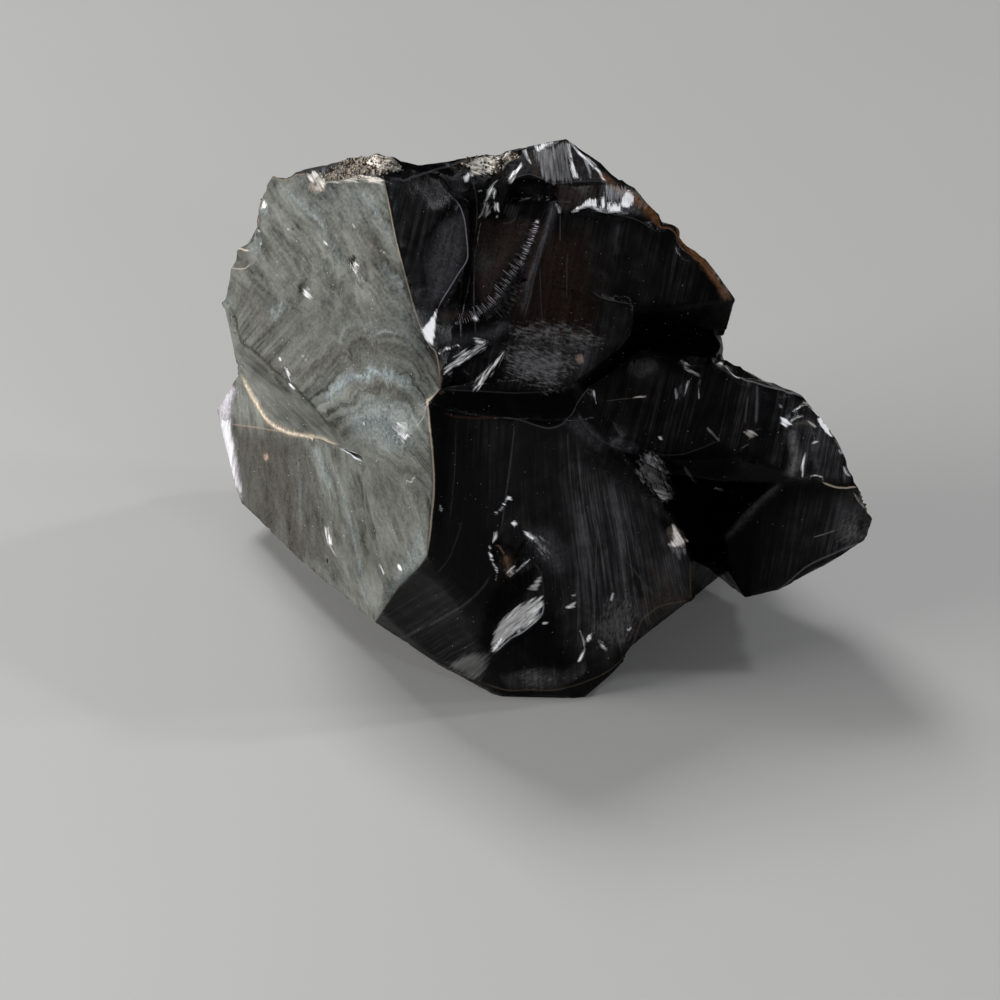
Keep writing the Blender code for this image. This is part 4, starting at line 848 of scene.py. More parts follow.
class Forms:
    # what the lines, patches, dents and gleams leave at every point
    def __init__(self, points, spots, seen, shown, faces):
        count = len(points)
        self.points, self.spots, self.seen, self.shown, self.faces = points, spots, seen, shown, faces
        self.uneven = 0.5 + 0.5 * roughField(points, 1.6, 3)
        self.height = np.zeros(count)
        self.colour = np.zeros((count, 3))
        self.strength = np.zeros(count)
        self.veil = np.zeros(count)
        self.crust = np.zeros(count)
        self.lineNear = np.full(len(faces), 1e9)
        # these two are kept for each corner, so that a face shows one line only
        self.lineAway = np.full(faces.size, 9.0)
        self.lineColour = np.zeros((faces.size, 4))
        self.gleam = np.full(count, -8.0)
        self.gleamLook = np.zeros((count, 3))
        self.comb = np.zeros((count, 3))

    def near(self, shape, reach, among):
        # the points among those given that are in the shape's box, grown by reach
        low, high = np.min(shape, axis=0) - reach, np.max(shape, axis=0) + reach
        return np.where(among & np.all((self.spots > low) & (self.spots < high), axis=1))[0]

    def lay(self, at, weight, tint):
        # adds paint, or a veil of striae, or crust
        if tint == "veil":
            self.veil[at] = np.maximum(self.veil[at], weight)
        elif tint == "crust":
            self.crust[at] = np.maximum(self.crust[at], weight)
        else:
            kept = self.strength[at] * (1 - weight)
            total = np.maximum(kept + weight, 1e-6)[:, None]
            mixed = self.colour[at] * kept[:, None] + np.array(tints[tint]) * weight[:, None]
            self.colour[at] = mixed / total
            self.strength[at] = kept + weight

    def addPatches(self):
        for outline, edge, high, tint, paint in patches.values():
            at = self.near(outline, edge, self.shown > 0.04)
            amount = soft(insideDepth(self.spots[at], outline), -edge, edge)
            rough = 1 + 1.4 * roughField(self.points[at], 0.7, 6) if tint == "crust" else 1.0
            self.height[at] += high * amount * rough * self.seen[at]
            self.lay(at, amount * self.shown[at] * paint * (0.7 + 0.3 * self.uneven[at]), tint)

    def addDents(self):
        for x, y, longHalf, wideHalf, roll, deep, tint, paint in dents.values():
            away = self.spots - np.array((x, y))
            turn = radians(roll)
            first = (away[:, 0] * cos(turn) + away[:, 1] * sin(turn)) / longHalf
            second = (-away[:, 0] * sin(turn) + away[:, 1] * cos(turn)) / wideHalf
            inner = np.clip(1 - first**2 - second**2, 0, 1) * self.seen
            self.height -= deep * inner * (0.8 + 0.2 * np.cos(9 * np.hypot(first + 0.9, second)))
            at = np.where(inner > 0)[0]
            self.lay(at, paint * np.minimum(2.5 * inner[at], 1) * (0.5 + 0.5 * self.uneven[at]), tint)

    def addLines(self):
        for path, wide, high, tint, paint in lines.values():
            line = smoothLine(path)
            at = self.near(line, 4 * wide + 10, True)
            signed, _, along = signedDistance(self.spots[at], line)
            taper = soft(along, -0.02, 0.12) * soft(1 - along, -0.02, 0.12)
            broken = 0.7 + 0.4 * self.uneven[at]
            profile = np.exp(-((signed / max(wide, 1.3)) ** 2)) * taper * self.seen[at]
            self.height[at] += high * profile * np.minimum(broken, 1)
            if wide > 1.5:
                self.lay(at, np.clip(profile * paint * broken, 0, 1), tint)
            else:
                ratio = signed / (wide * (0.55 + 0.45 * taper))
                self.drawOnFaces(at, ratio, np.clip(taper * paint * broken, 0, 1), tint)

    def drawOnFaces(self, at, ratio, amount, tint):
        # each face keeps the line that runs nearest to its middle; ratio is the distance over the half width
        ratios, amounts = np.full(len(self.points), np.nan), np.zeros(len(self.points))
        ratios[at], amounts[at] = ratio, amount
        known = np.isfinite(ratios[self.faces]).all(axis=1)
        touched = np.where(self.seen[self.faces].any(axis=1) & known)[0]
        onFaces = ratios[self.faces[touched]]
        crossed = (onFaces.min(axis=1) < 1.5) & (onFaces.max(axis=1) > -1.5)
        middle = np.abs(onFaces.mean(axis=1))
        chosen = crossed & (middle < self.lineNear[touched])
        won = touched[chosen]
        self.lineNear[won] = middle[chosen]
        corners = (won[:, None] * 3 + np.arange(3)).ravel()
        self.lineAway[corners] = onFaces[chosen].ravel()
        self.lineColour[corners, :3] = tints[tint]
        self.lineColour[corners, 3] = amounts[self.faces[won]].ravel()

    # the painted glints and highlights, and the few pale marks of the stone's own among them
    def addGleams(self):
        for number, (shape, wide, edge, bright, warm, aim, streak) in enumerate(gleams.values()):
            at = self.near(shape, 9, self.seen)
            x, y = self.spots[at].T
            if wide:
                signed, run, along = signedDistance(self.spots[at], smoothLine(shape))
                taper = np.sqrt(np.clip(4 * along * (1 - along), 0.12, 1))
                depth = wide * taper - np.abs(signed)
            else:
                depth = insideDepth(self.spots[at], shape)
            if aim == "across":
                first, second = run, signed
            else:
                slope = radians(aim)
                first, second = -x * sin(slope) + y * cos(slope), x * cos(slope) + y * sin(slope)
            depth = depth / edge
            closer = depth > self.gleam[at]
            won = at[closer]
            self.gleam[won] = depth[closer]
            self.gleamLook[won] = (bright**2.2, 0.4 + 0.7 * streak, warm)
            alongStreaks = (0.05 if edge < 4 else 0.16) * second
            comb = np.column_stack([0.45 * first, alongStreaks, np.full(len(first), 3.7 * number)])
            self.comb[won] = comb[closer]


breaks = {
    # the breaks of the unseen sides: the point each spread from, its waves' length, height and reach, in mm
    "crownBack": ((-4, 26, 70), 4.6, 0.20, 60),
    "leftBack": ((-42, 28, 44), 3.8, 0.16, 44),
    "rightBack": ((28, 22, 52), 4.2, 0.18, 46),
    "lowBack": ((14, 34, 2), 5.0, 0.18, 44),
    "lowLeftBack": ((-38, 30, 2), 4.4, 0.16, 38),
    "underArm": ((40, 4, 8), 3.6, 0.14, 34),
}


def breakWaves(points, seen):
    # rings of waves on the unseen sides, each point taking those of the break nearest to it
    rows = list(breaks.values())
    away = np.array([np.linalg.norm(points - np.array(row[0]), axis=1) for row in rows])
    length, high, reach = (np.array([row[k] for row in rows]) for k in (1, 2, 3))
    nearest = np.argmin(away / reach[:, None], axis=0)
    d = away[nearest, np.arange(len(points))] + 1.5 * roughField(points, 12.0, 21, 2)
    fade = soft(1 - d / (1.3 * reach[nearest]), 0, 0.5) * soft(roughField(points, 11.0, 23, 2), -0.35, 0.3)
    return ~seen * high[nearest] * fade * np.sin(2 * pi * d / (length[nearest] * (1 + d / 60)))


def softenCreases(points, ends, weight, rounds):
    # evens out the surface where the weight is above zero: points move to the middle of their neighbours
    count = np.bincount(ends.ravel(), minlength=len(points)).astype(float)[:, None]
    chosen = weight[:, None]
    for _ in range(rounds):
        total = np.zeros_like(points)
        np.add.at(total, ends[:, 0], points[ends[:, 1]])
        np.add.at(total, ends[:, 1], points[ends[:, 0]])
        points = points + 0.6 * chosen * (total / count - points)
    return points


def spreadOut(values, ends, rounds):
    # the values carried on to neighbouring points and fading there, never less than they were
    count = np.bincount(ends.ravel(), minlength=len(values)).astype(float)
    spread = values.astype(float)
    for _ in range(rounds):
        total = np.bincount(ends[:, 0], spread[ends[:, 1]], len(values))
        total += np.bincount(ends[:, 1], spread[ends[:, 0]], len(values))
        spread = np.maximum(values, total / count)
    return spread


def ridgeNicks(made, points, seen):
    # small chips knocked off the ridges, larger behind
    rng = np.random.default_rng(stone["seed"])
    blunt = radians(stone["nickAngle"])
    ridges = [e for e in made.edges if len(e.link_faces) == 2 and e.calc_face_angle_signed(0) > blunt]
    outward = [(e.link_faces[0].normal + e.link_faces[1].normal).normalized() for e in ridges]
    middles = np.array([(e.verts[0].co + e.verts[1].co) / 2 for e in ridges])
    lengths = np.array([e.calc_length() for e in ridges])
    inSight = np.array([seen[e.verts[0].index] for e in ridges])
    tree = KDTree(len(points))
    for i, p in enumerate(points):
        tree.insert(p, i)
    tree.balance()
    moved = np.zeros((len(points), 3))
    chance = lengths / lengths.sum()
    for _ in range(stone["nicks"]):
        pick = rng.choice(len(ridges), p=chance)
        size = rng.uniform(*stone["nickSize" if inSight[pick] else "nickSizeBehind"])
        centre = middles[pick] + rng.normal(0, 0.25, 3)
        for co, index, away in tree.find_range(centre, size):
            depth = 0.32 * size * (1 - (away / size) ** 2)
            if depth > np.linalg.norm(moved[index]):
                moved[index] = -depth * np.array(outward[pick])
    return moved


# Flow bands: thin layers through the stone, which each face cuts at its own slant

ridgePoints = lines["mainRidge"][0][1:] + lines["lowRidge"][0][1:]
leftRidge = ((384, 179), *ridgePoints, (420, 566), (400, 585))  # between the pale side and the dark breaks

flow = {
    "across": (0.97, -0.15, -0.1),  # direction through the layers
    "acrossBelow": (0.8, 0.0, -0.6),  # and on the faces that look down
    "bend": (0.9, 30.0),  # mm to the side, over lumps this many mm wide
    "arcMiddle": 380.0,  # the arches on the left face stand round this frame x
    "arcSpread": (150.0, 62.0),  # frame units, how wide they open to the left and to the right
    "slant": 56.0,  # degrees, streaks above the arches
    "sliverSlant": 43.0,  # and between the groove and the cream ridge
    "sliverOutline": ((228, 300), (240, 340), (265, 362), (302, 396), (330, 430), (352, 452), (340, 448),
        (310, 436), (287, 432), (268, 420), (255, 400), (240, 373), (232, 350)),
    "lobeOutline": ((240, 373), (255, 400), (268, 420), (287, 432), (310, 436), (340, 448), (362, 462),
        (392, 476), (440, 500), (427, 560), (375, 630), (190, 580), (200, 390)),
    "prowOutline": ((430, 410), (500, 412), (563, 423), (615, 478), (655, 498), (682, 528), (700, 604),
        (655, 630), (640, 660), (612, 690), (560, 700), (500, 700), (484, 664), (482, 625), (470, 590),
        (436, 560), (424, 540)),
    "tipOutline": ((700, 482), (760, 482), (800, 479), (862, 482), (880, 520), (868, 548), (745, 604),
        (720, 570), (700, 530)),
    "darkOutline": ((388, 182), (500, 160), (560, 145), (650, 215), (730, 300), (720, 350), (800, 400),
        (860, 490), (862, 535), (750, 592), (690, 600), (630, 655), (600, 678), (480, 678), (400, 630),
        (432, 560), (436, 400)),
    "leftOutline": ((200, 150), (272, 174), (300, 174), (320, 180), *leftRidge, (375, 622), (330, 620),
        (200, 560)),
    # the pale side faces the light from the left, and its grey is partly painted sheen
    "paleWay": (-0.75, -0.65, 0.1),  # the way that the pale side faces
    "reachBehind": 3,  # how many points past what is in sight the seen faces' finish fades over
}


def layersOf(points, across):
    # places measured through the layers and along them, in mm
    across = np.array(across) / np.linalg.norm(across)
    along = np.cross(across, (0.0, 0.0, 1.0))
    along /= np.linalg.norm(along)
    return np.column_stack([points @ across, points @ along, points @ np.cross(along, across)])


def flowOf(points, spots):
    # for every point, where it lies in each set of layers, in mm
    general, below = layersOf(points, flow["across"]), layersOf(points, flow["acrossBelow"])
    bend = flow["bend"][0] * roughField(points, flow["bend"][1], 7, 2)
    general[:, 0] += bend
    below[:, 0] += bend
    fan = soft(insideDepth(spots, flow["prowOutline"]), -1, 1)  # the prow's streaks spread downwards
    spread = (spots[:, 0] - 525) * frameUnit / (1 + 0.55 * np.clip((spots[:, 1] - 420) / 250, 0, 1))
    general[:, 0] = general[:, 0] * (1 - fan) + (spread + bend) * fan
    x, y = spots[:, 0] - flow["arcMiddle"], spots[:, 1]
    opening = np.where(x < 0, *flow["arcSpread"])
    wobble = 14 * roughField(points, 14, 9, 2)
    arches = np.column_stack([y - x * x / opening + wobble, 0.25 * x, 0 * x]) * frameUnit
    slant = radians(flow["slant"])
    over, along = x * sin(slant) - y * cos(slant), x * cos(slant) + y * sin(slant)
    streaks = np.column_stack([over + 0.5 * wobble, along, 0 * x]) * frameUnit
    # below the groove the layers fan out downwards
    offset, drop = spots[:, 0] - 240, spots[:, 1] - 440
    fanned = (offset - 0.05 * drop) / np.maximum(1 + 0.00183 * drop, 0.4)
    legs = np.column_stack([fanned + 0.3 * wobble, 0.8 * drop, 0 * x]) * frameUnit
    slant = radians(flow["sliverSlant"])
    over, along = x * sin(slant) - y * cos(slant), x * cos(slant) + y * sin(slant)
    sliver = np.column_stack([over, along, 0 * x + 60]) * frameUnit
    inSliver = insideDepth(spots, flow["sliverOutline"]) > 0
    streaks[inSliver] = sliver[inSliver]
    return general, below, arches, streaks, legs


def leftness(normals):
    # how far a face turns towards the pale, flow-banded side of the stone, or its far side: the grey it gets
    # there is partly painted sheen, standing in for light on the breaks
    facing = normals @ (np.array(flow["paleWay"]) / np.linalg.norm(flow["paleWay"]))
    return soft(facing, 0.8, 0.9) + 0.55 * soft(-facing, 0.72, 0.9)


def paleSide(cornerVerts, normals, spots, shown):
    # 0.56 and more on the pale side, 0.44 and less on the dark breaks; in sight the outline settles it.
    # The pale side's grey is partly painted sheen, where the light from the left falls.
    inside = np.clip(insideDepth(spots, flow["leftOutline"]), -8, 8)
    weight = shown[cornerVerts]
    return weight * (0.5 + inside[cornerVerts] / 16) + (1 - weight) * (0.44 + 0.12 * leftness(normals))


def cornerAttribute(mesh, name, values):
    # one number, three or four for every corner of every face
    if values.ndim == 1:
        made = mesh.attributes.new(name, "FLOAT", "CORNER")
        made.data.foreach_set("value", values.astype(np.float32))
    elif values.shape[1] == 3:
        made = mesh.attributes.new(name, "FLOAT_VECTOR", "CORNER")
        made.data.foreach_set("vector", values.astype(np.float32).ravel())
    else:
        made = mesh.attributes.new(name, "FLOAT_COLOR", "CORNER")
        made.data.foreach_set("color", values.astype(np.float32).ravel())


def meshFrom(made, name):
    mesh = bpy.data.meshes.new(name)
    made.to_mesh(mesh)
    mesh.transform(Matrix.Scale(mm, 4))
    return mesh


def crispNormals(made):
    # the corners' normals and points and the sharp edges, before anything is raised
    mesh = bpy.data.meshes.new("crisp")
    made.to_mesh(mesh)
    mesh.shade_smooth()
    mesh.set_sharp_from_angle(angle=radians(stone["sharpAngle"]))
    normals = np.zeros(len(mesh.loops) * 3, np.float32)
    mesh.corner_normals.foreach_get("vector", normals)
    verts = np.zeros(len(mesh.loops), np.int32)
    mesh.loops.foreach_get("vertex_index", verts)
    sharp = np.zeros(len(mesh.edges), bool)
    mesh.attributes["sharp_edge"].data.foreach_get("value", sharp)
    bpy.data.meshes.remove(mesh)
    return normals.reshape(-1, 3), verts, sharp


def softenedPoints(points, spots, seen, ends):
    # the listed creases smoothed over, but not where they come near the ridge of the pale side
    weight = np.zeros(len(points))
    for path, reach in softened.values():
        away = lineDistance(spots, smoothLine(path))[0]
        weight = np.maximum(weight, np.where(seen, 1 - soft(away, 0.4 * reach, reach), 0))
    away = lineDistance(spots, smoothLine(leftRidge))[0]
    return softenCreases(points, ends, weight * soft(away, 2, 7), 60)


def addFlow(mesh, points, spots, seen, cornerVerts, cornerNormals):
    # the layers at each corner, and how far the arches and the legs replace the streaks there
    general, below, arches, streaks, legs = flowOf(points, spots)
    inProw, inTip = insideDepth(spots, flow["prowOutline"]), insideDepth(spots, flow["tipOutline"])
    upright = np.maximum(soft(inProw, -2, 6), soft(inTip, -2, 6)) * seen
    lookingDown = soft(-cornerNormals[:, 2], 0.06, 0.2) * (1 - upright)[cornerVerts]
    lookingDown = lookingDown[:, None]
    layered = general[cornerVerts] * (1 - lookingDown) + below[cornerVerts] * lookingDown
    inSliver = insideDepth(spots, flow["sliverOutline"]) > 0
    arched = soft(spots[:, 1] + 0.25 * np.abs(spots[:, 0] - 370), 290, 372) * seen * ~inSliver
    inLobe = insideDepth(spots, flow["lobeOutline"])
    legged = np.where(spots[:, 0] < 350, soft(inLobe, -1, 1.5), soft(inLobe, -18, 18)) * seen
    cornerAttribute(mesh, "flow", layered)
    cornerAttribute(mesh, "arches", arches[cornerVerts])
    cornerAttribute(mesh, "streaks", streaks[cornerVerts])
    cornerAttribute(mesh, "legs", legs[cornerVerts])
    cornerAttribute(mesh, "arched", arched[cornerVerts])
    cornerAttribute(mesh, "legged", legged[cornerVerts])


def makeStone(material):
    made = fineMesh()
    tree = BVHTree.FromBMesh(made)
    cutEdges(made, tree, allDrawnPoints())
    made.verts.ensure_lookup_table()
    made.verts.index_update()
    made.normal_update()
    points = coordinates(made)
    normals = np.array([v.normal for v in made.verts])
    spots = frameOf(points)
    seen = seenFrom(tree, points)
    print("seen points:", int(seen.sum()), "of", len(points))

    cornerNormals, cornerVerts, sharp = crispNormals(made)
    ends = edgeEnds(made)
    points = softenedPoints(points, spots, seen, ends)
    shown = spreadOut(seen, ends, flow["reachBehind"])
    forms = Forms(points, spots, seen, shown, cornerVerts.reshape(-1, 3))
    forms.addPatches()
    forms.addDents()
    forms.addLines()
    forms.addGleams()
    height = forms.height
    print("forms raised")
    height += stone["waves"][0] * roughField(points, stone["waves"][1], 1)
    height += stone["ripples"][0] * roughField(points, stone["ripples"][1], 2)
    height += breakWaves(points, seen)
    resting = points[:, 2] < 0.05
    shaped = points + normals * height[:, None] + ridgeNicks(made, points, seen)
    shaped += pullOutline(points, spots, seen)
    shaped[resting, 2] = points[resting, 2]
    shaped[:, 2] = np.maximum(shaped[:, 2], 0)
    for vert, p in zip(made.verts, shaped):
        vert.co = p
    stoneMesh = meshFrom(made, "obsidian_stone")
    stoneMesh.shade_smooth()
    if "sharp_edge" not in stoneMesh.attributes:
        stoneMesh.attributes.new("sharp_edge", "BOOLEAN", "EDGE")
    stoneMesh.attributes["sharp_edge"].data.foreach_set("value", sharp)

    addFlow(stoneMesh, points, spots, seen, cornerVerts, cornerNormals)
    # grey: the pale side, partly painted sheen
    cornerAttribute(stoneMesh, "grey", paleSide(cornerVerts, cornerNormals, spots, shown))
    cornerAttribute(stoneMesh, "front", shown[cornerVerts])
    cornerAttribute(stoneMesh, "tint", np.column_stack([forms.colour, forms.strength])[cornerVerts])
    # gleam, gleamLook and comb carry the painted glints and highlights
    for name in ("veil", "crust", "gleam", "gleamLook", "comb"):
        cornerAttribute(stoneMesh, name, getattr(forms, name)[cornerVerts])
    for name in ("lineAway", "lineColour"):
        cornerAttribute(stoneMesh, name, getattr(forms, name))
    stoneMesh.materials.append(material)
    made.free()
    print("stone:", len(stoneMesh.polygons), "faces")
    return plainObject("obsidian_stone", stoneMesh)


# Materials

glass = {
    "black": (0.0018, 0.0018, 0.0021),
    "striaPale": (0.105, 0.101, 0.108),
    "striae": (0.055, 1.25),  # how strong the striae are on clear and on veiled breaks
    "striaeBehind": 0.42,
    "veilLift": 0.15,  # how much a veil greys the black by itself
    "swirl": 0.72,  # mm that the pale side's bands are stirred by
    # greys of the pale side, partly painted sheen
    "greyDark": (0.018, 0.019, 0.016),
    "greyPale": (0.20, 0.207, 0.188),
    "crustDark": (0.014, 0.011, 0.009),
    "crustPale": (0.41, 0.36, 0.31),
    # colours of the painted glints and highlights
    "glint": (0.93, 0.94, 0.98),
    "glintWarm": (0.88, 0.77, 0.62),
    "gloss": (0.15, 0.26),  # roughness of the clean breaks and of the clouded ones
    "greyGloss": 0.5,
    "glintGloss": 0.4,
    "bump": (0.35, 0.00012),  # strength, and height in metres
    # noise, by how many of its lumps lie in a metre
    "grain": 2400.0,
    "crumb": 1150.0,
    "mottle": 420.0,
    "cloud": 260.0,
    "swirlSize": 105.0,
    # streaks, by how many lie in a mm through the layers and along them
    "striaBroad": (0.3, 0.03, 0.03),
    "striaFine": (2.2, 0.06, 0.06),
    "striaHair": (6.0, 0.12, 0.12),
    "bandCoarse": (0.5, 0.14, 0.1),
    "bandThin": (1.9, 0.42, 0.1),
    "bandBehind": (0.9, 0.12, 0.12),
    "specular": 0.07,
    "refraction": 1.49,
    # painted glow: emission on the painted glints, though no lamp is there
    "glow": 0.32,  # how much the brightest glints lift above white
}


def addNode(tree, kind, inputs, settings):
    # a node with its settings, and its inputs set or joined
    made = tree.nodes.new(kind)
    for key, value in settings.items():
        setattr(made, key, value)
    for key, value in inputs.items():
        if isinstance(value, bpy.types.NodeSocket):
            tree.links.new(value, made.inputs[key])
        else:
            made.inputs[key].default_value = value
    return made


class Nodes:
    # a short way to add and join shader nodes
    def __init__(self, material):
        material.use_nodes = True
        self.tree = material.node_tree
        self.tree.nodes.clear()

    def add(self, kind, inputs=None, **settings):
        return addNode(self.tree, kind, inputs or {}, settings)

    def read(self, name, output="Fac"):
        return self.add("ShaderNodeAttribute", attribute_name=name).outputs[output]

    def noise(self, vector, scale, detail=3.0, rough=0.55):
        inputs = {"Vector": vector, "Scale": scale, "Detail": detail, "Roughness": rough}
        return self.add("ShaderNodeTexNoise", inputs).outputs[0]

    def stretch(self, vector, size):
        return self.add("ShaderNodeMapping", {"Vector": vector, "Scale": size}).outputs[0]

    def between(self, value, low, high, outLow=0.0, outHigh=1.0):
        # low to high becomes outLow to outHigh, and nothing goes past them
        inputs = {"Value": value, "From Min": low, "From Max": high, "To Min": outLow, "To Max": outHigh}
        return self.add("ShaderNodeMapRange", inputs).outputs[0]

    def mix(self, factor, a, b):
        # two colours
        a, b = (c if isinstance(c, bpy.types.NodeSocket) else (*c, 1.0) for c in (a, b))
        return self.add("ShaderNodeMix", {0: factor, 6: a, 7: b}, data_type="RGBA").outputs[2]

    def blend(self, factor, a, b):
        # two numbers
        return self.add("ShaderNodeMix", {0: factor, 2: a, 3: b}, data_type="FLOAT").outputs[0]

    def plus(self, a, b):
        return self.add("ShaderNodeMath", {0: a, 1: b}, operation="ADD").outputs[0]

    def times(self, a, b):
        return self.add("ShaderNodeMath", {0: a, 1: b}, operation="MULTIPLY").outputs[0]

    def larger(self, a, b):
        return self.add("ShaderNodeMath", {0: a, 1: b}, operation="MAXIMUM").outputs[0]

    def shift(self, vector, other):
        return self.add("ShaderNodeVectorMath", {0: vector, 1: other}, operation="ADD").outputs[0]

    def scale(self, vector, size):
        return self.add("ShaderNodeVectorMath", {0: vector, "Scale": size}, operation="SCALE").outputs[0]

    def finish(self, inputs):
        shader = self.add("ShaderNodeBsdfPrincipled", inputs)
        self.add("ShaderNodeOutputMaterial", {0: shader.outputs[0]})


def darkBreaks(n, fine, mottle):
    # black glass with fine pale striae along the layers
    layers, veil = n.read("flow", "Vector"), n.read("veil")
    broad = n.noise(n.stretch(layers, glass["striaBroad"]), 1.0, 2.0)
    hair = n.noise(n.stretch(layers, glass["striaHair"]), 1.0, 3.0, 0.7)
    stria = n.times(n.between(broad, 0.36, 0.66, 0.15, 1.0), n.between(fine, 0.46, 0.68))
    hairs = n.times(n.between(hair, 0.52, 0.78), n.between(broad, 0.36, 0.66, 0.1, 0.45))
    clear = n.between(veil, 0.0, 1.0, *glass["striae"])
    amount = n.larger(clear, n.between(n.read("front"), 0.0, 1.0, glass["striaeBehind"], 0.0))
    stria = n.times(n.times(n.plus(stria, hairs), amount), n.between(mottle, 0.3, 0.7, 0.5, 1.45))
    lift = n.times(n.times(veil, glass["veilLift"]), n.between(mottle, 0.3, 0.7, 0.35, 1.7))
    return n.mix(n.between(n.plus(stria, lift), 0.0, 1.0), glass["black"], glass["striaPale"])


def paleBreaks(n, place, grain, mottle):
    # slanting streaks above, arches below them and fanning layers under the groove, in greys that are
    # partly painted sheen, lighter than the black glass as the light from the left falls on them
    swirl = n.add("ShaderNodeTexNoise", {"Vector": place, "Scale": glass["swirlSize"], "Detail": 2.0})
    swirl = n.scale(swirl.outputs["Color"], glass["swirl"])

    def bandsOf(name):
        layers = n.shift(n.read(name, "Vector"), swirl)
        coarse = n.noise(n.stretch(layers, glass["bandCoarse"]), 1.0, 2.0, 0.6)
        thin = n.noise(n.stretch(layers, glass["bandThin"]), 1.0, 3.0, 0.6)
        return n.blend(0.4, coarse, thin)

    front = n.blend(n.read("arched"), bandsOf("streaks"), bandsOf("arches"))
    front = n.blend(n.read("legged"), front, bandsOf("legs"))
    behind = n.noise(n.stretch(n.read("flow", "Vector"), glass["bandBehind"]), 1.0, 4.0, 0.62)
    bands = n.blend(n.read("front"), behind, front)
    tone = n.plus(n.between(bands, 0.32, 0.68), n.between(grain, 0.2, 0.8, -0.2, 0.2))
    tone = n.plus(tone, n.between(mottle, 0.25, 0.75, -0.18, 0.18))
    return n.mix(n.between(tone, 0.0, 1.0), glass["greyDark"], glass["greyPale"])


def paintedForms(n, clean, place, grain, fine):
    # soft patches over the clean glass, among them painted shade and painted light, then crust, then thin
    # lines, among them painted highlights on ridges
    speckle = n.between(n.blend(0.5, grain, fine), 0.36, 0.64, 0.45, 1.5)
    whole = n.mix(n.read("tint", "Alpha"), clean, n.scale(n.read("tint", "Color"), speckle))
    crumb = n.between(n.noise(place, glass["crumb"], 3.0, 0.7), 0.46, 0.66)
    whole = n.mix(n.read("crust"), whole, n.mix(crumb, glass["crustDark"], glass["crustPale"]))
    away = n.plus(n.read("lineAway"), n.between(grain, 0.2, 0.8, -0.3, 0.3))
    profile = n.between(n.times(away, away), 0.15, 1.7, 1.0, 0.0)
    return n.mix(n.times(profile, n.read("lineColour", "Alpha")), whole, n.read("lineColour", "Color"))


def glintsOver(n, whole):
    # painted glints and highlights broken into streaks, and how much of each point they fill
    combs = n.noise(n.read("comb", "Vector"), 1.0, 3.0, 0.65)
    look = n.add("ShaderNodeSeparateXYZ", {"Vector": n.read("gleamLook", "Vector")}).outputs
    bright, streak, warm = look[0], look[1], look[2]
    ribbed = n.times(n.between(combs, 0.25, 0.75, -1.0, 1.0), streak)
    depth = n.plus(n.read("gleam"), n.times(ribbed, 1.6))
    fill = n.times(n.between(depth, -0.7, 1.3), bright)
    fill = n.times(fill, n.between(ribbed, -1.0, 1.0, 0.3, 1.8))
    fill = n.between(fill, 0.0, 1.0)
    return n.mix(fill, whole, n.mix(warm, glass["glint"], glass["glintWarm"])), fill


def volcanicGlass():
    made = bpy.data.materials.new("black_volcanic_glass")
    n = Nodes(made)
    place = n.add("ShaderNodeTexCoord").outputs["Object"]
    # grey: where the pale side's partly painted sheen goes
    grey = n.between(n.read("grey"), 0.44, 0.56)
    grain = n.noise(place, glass["grain"], 2.0, 0.6)
    mottle = n.noise(place, glass["mottle"], 3.0, 0.6)
    fine = n.noise(n.stretch(n.read("flow", "Vector"), glass["striaFine"]), 1.0, 4.0, 0.75)

    clean = n.mix(grey, darkBreaks(n, fine, mottle), paleBreaks(n, place, grain, mottle))
    whole, fill = glintsOver(n, paintedForms(n, clean, place, grain, fine))

    cloud = n.between(n.noise(place, glass["cloud"], 4.0, 0.6), 0.4, 0.65)
    gloss = n.blend(grey, n.blend(cloud, *glass["gloss"]), glass["greyGloss"])
    bumpy = n.plus(n.times(fine, 0.6), n.times(grain, 0.25))
    bumpy = n.plus(bumpy, n.times(mottle, 0.5))
    strength, high = glass["bump"]
    bump = n.add("ShaderNodeBump", {"Strength": strength, "Distance": high, "Height": bumpy})
    shine = n.blend(n.read("tint", "Alpha"), glass["specular"], 0.2 * glass["specular"])
    n.finish({
        "Base Color": whole,
        "Roughness": n.blend(fill, gloss, glass["glintGloss"]),
        "IOR": glass["refraction"],
        "Normal": bump.outputs[0],
        "Specular IOR Level": n.blend(fill, shine, 0.9),
        # the painted glints also glow a little, though no lamp is in them
        "Emission Color": (1.0, 1.0, 1.0, 1.0),
        "Emission Strength": n.times(n.times(fill, fill), glass["glow"]),
    })
    return made


def plainMaterial(name, colour, rough):
    made = bpy.data.materials.new(name)
    n = Nodes(made)
    place = n.add("ShaderNodeTexCoord").outputs["Object"]
    grain = n.noise(place, 3.0, 3.0)
    shade = n.mix(n.between(grain, 0.3, 0.7), [c * 0.94 for c in colour], colour)
    n.finish({"Base Color": shade, "Roughness": rough})
    return made


stonePiece = makeStone(volcanicGlass())
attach(stonePiece, "root")
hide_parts("obsidian_chunk")


# What repeats on the stone: grains of crust, specks of dust and ribs along the arc

def nodeGroup(name, inputs):
    # an empty tree with a geometry way in and out, and the named inputs
    made = bpy.data.node_groups.new(name, "GeometryNodeTree")
    made.interface.new_socket("Geometry", in_out="INPUT", socket_type="NodeSocketGeometry")
    for label, kind in inputs:
        made.interface.new_socket(label, in_out="INPUT", socket_type=kind)
    made.interface.new_socket("Geometry", in_out="OUTPUT", socket_type="NodeSocketGeometry")
    return made


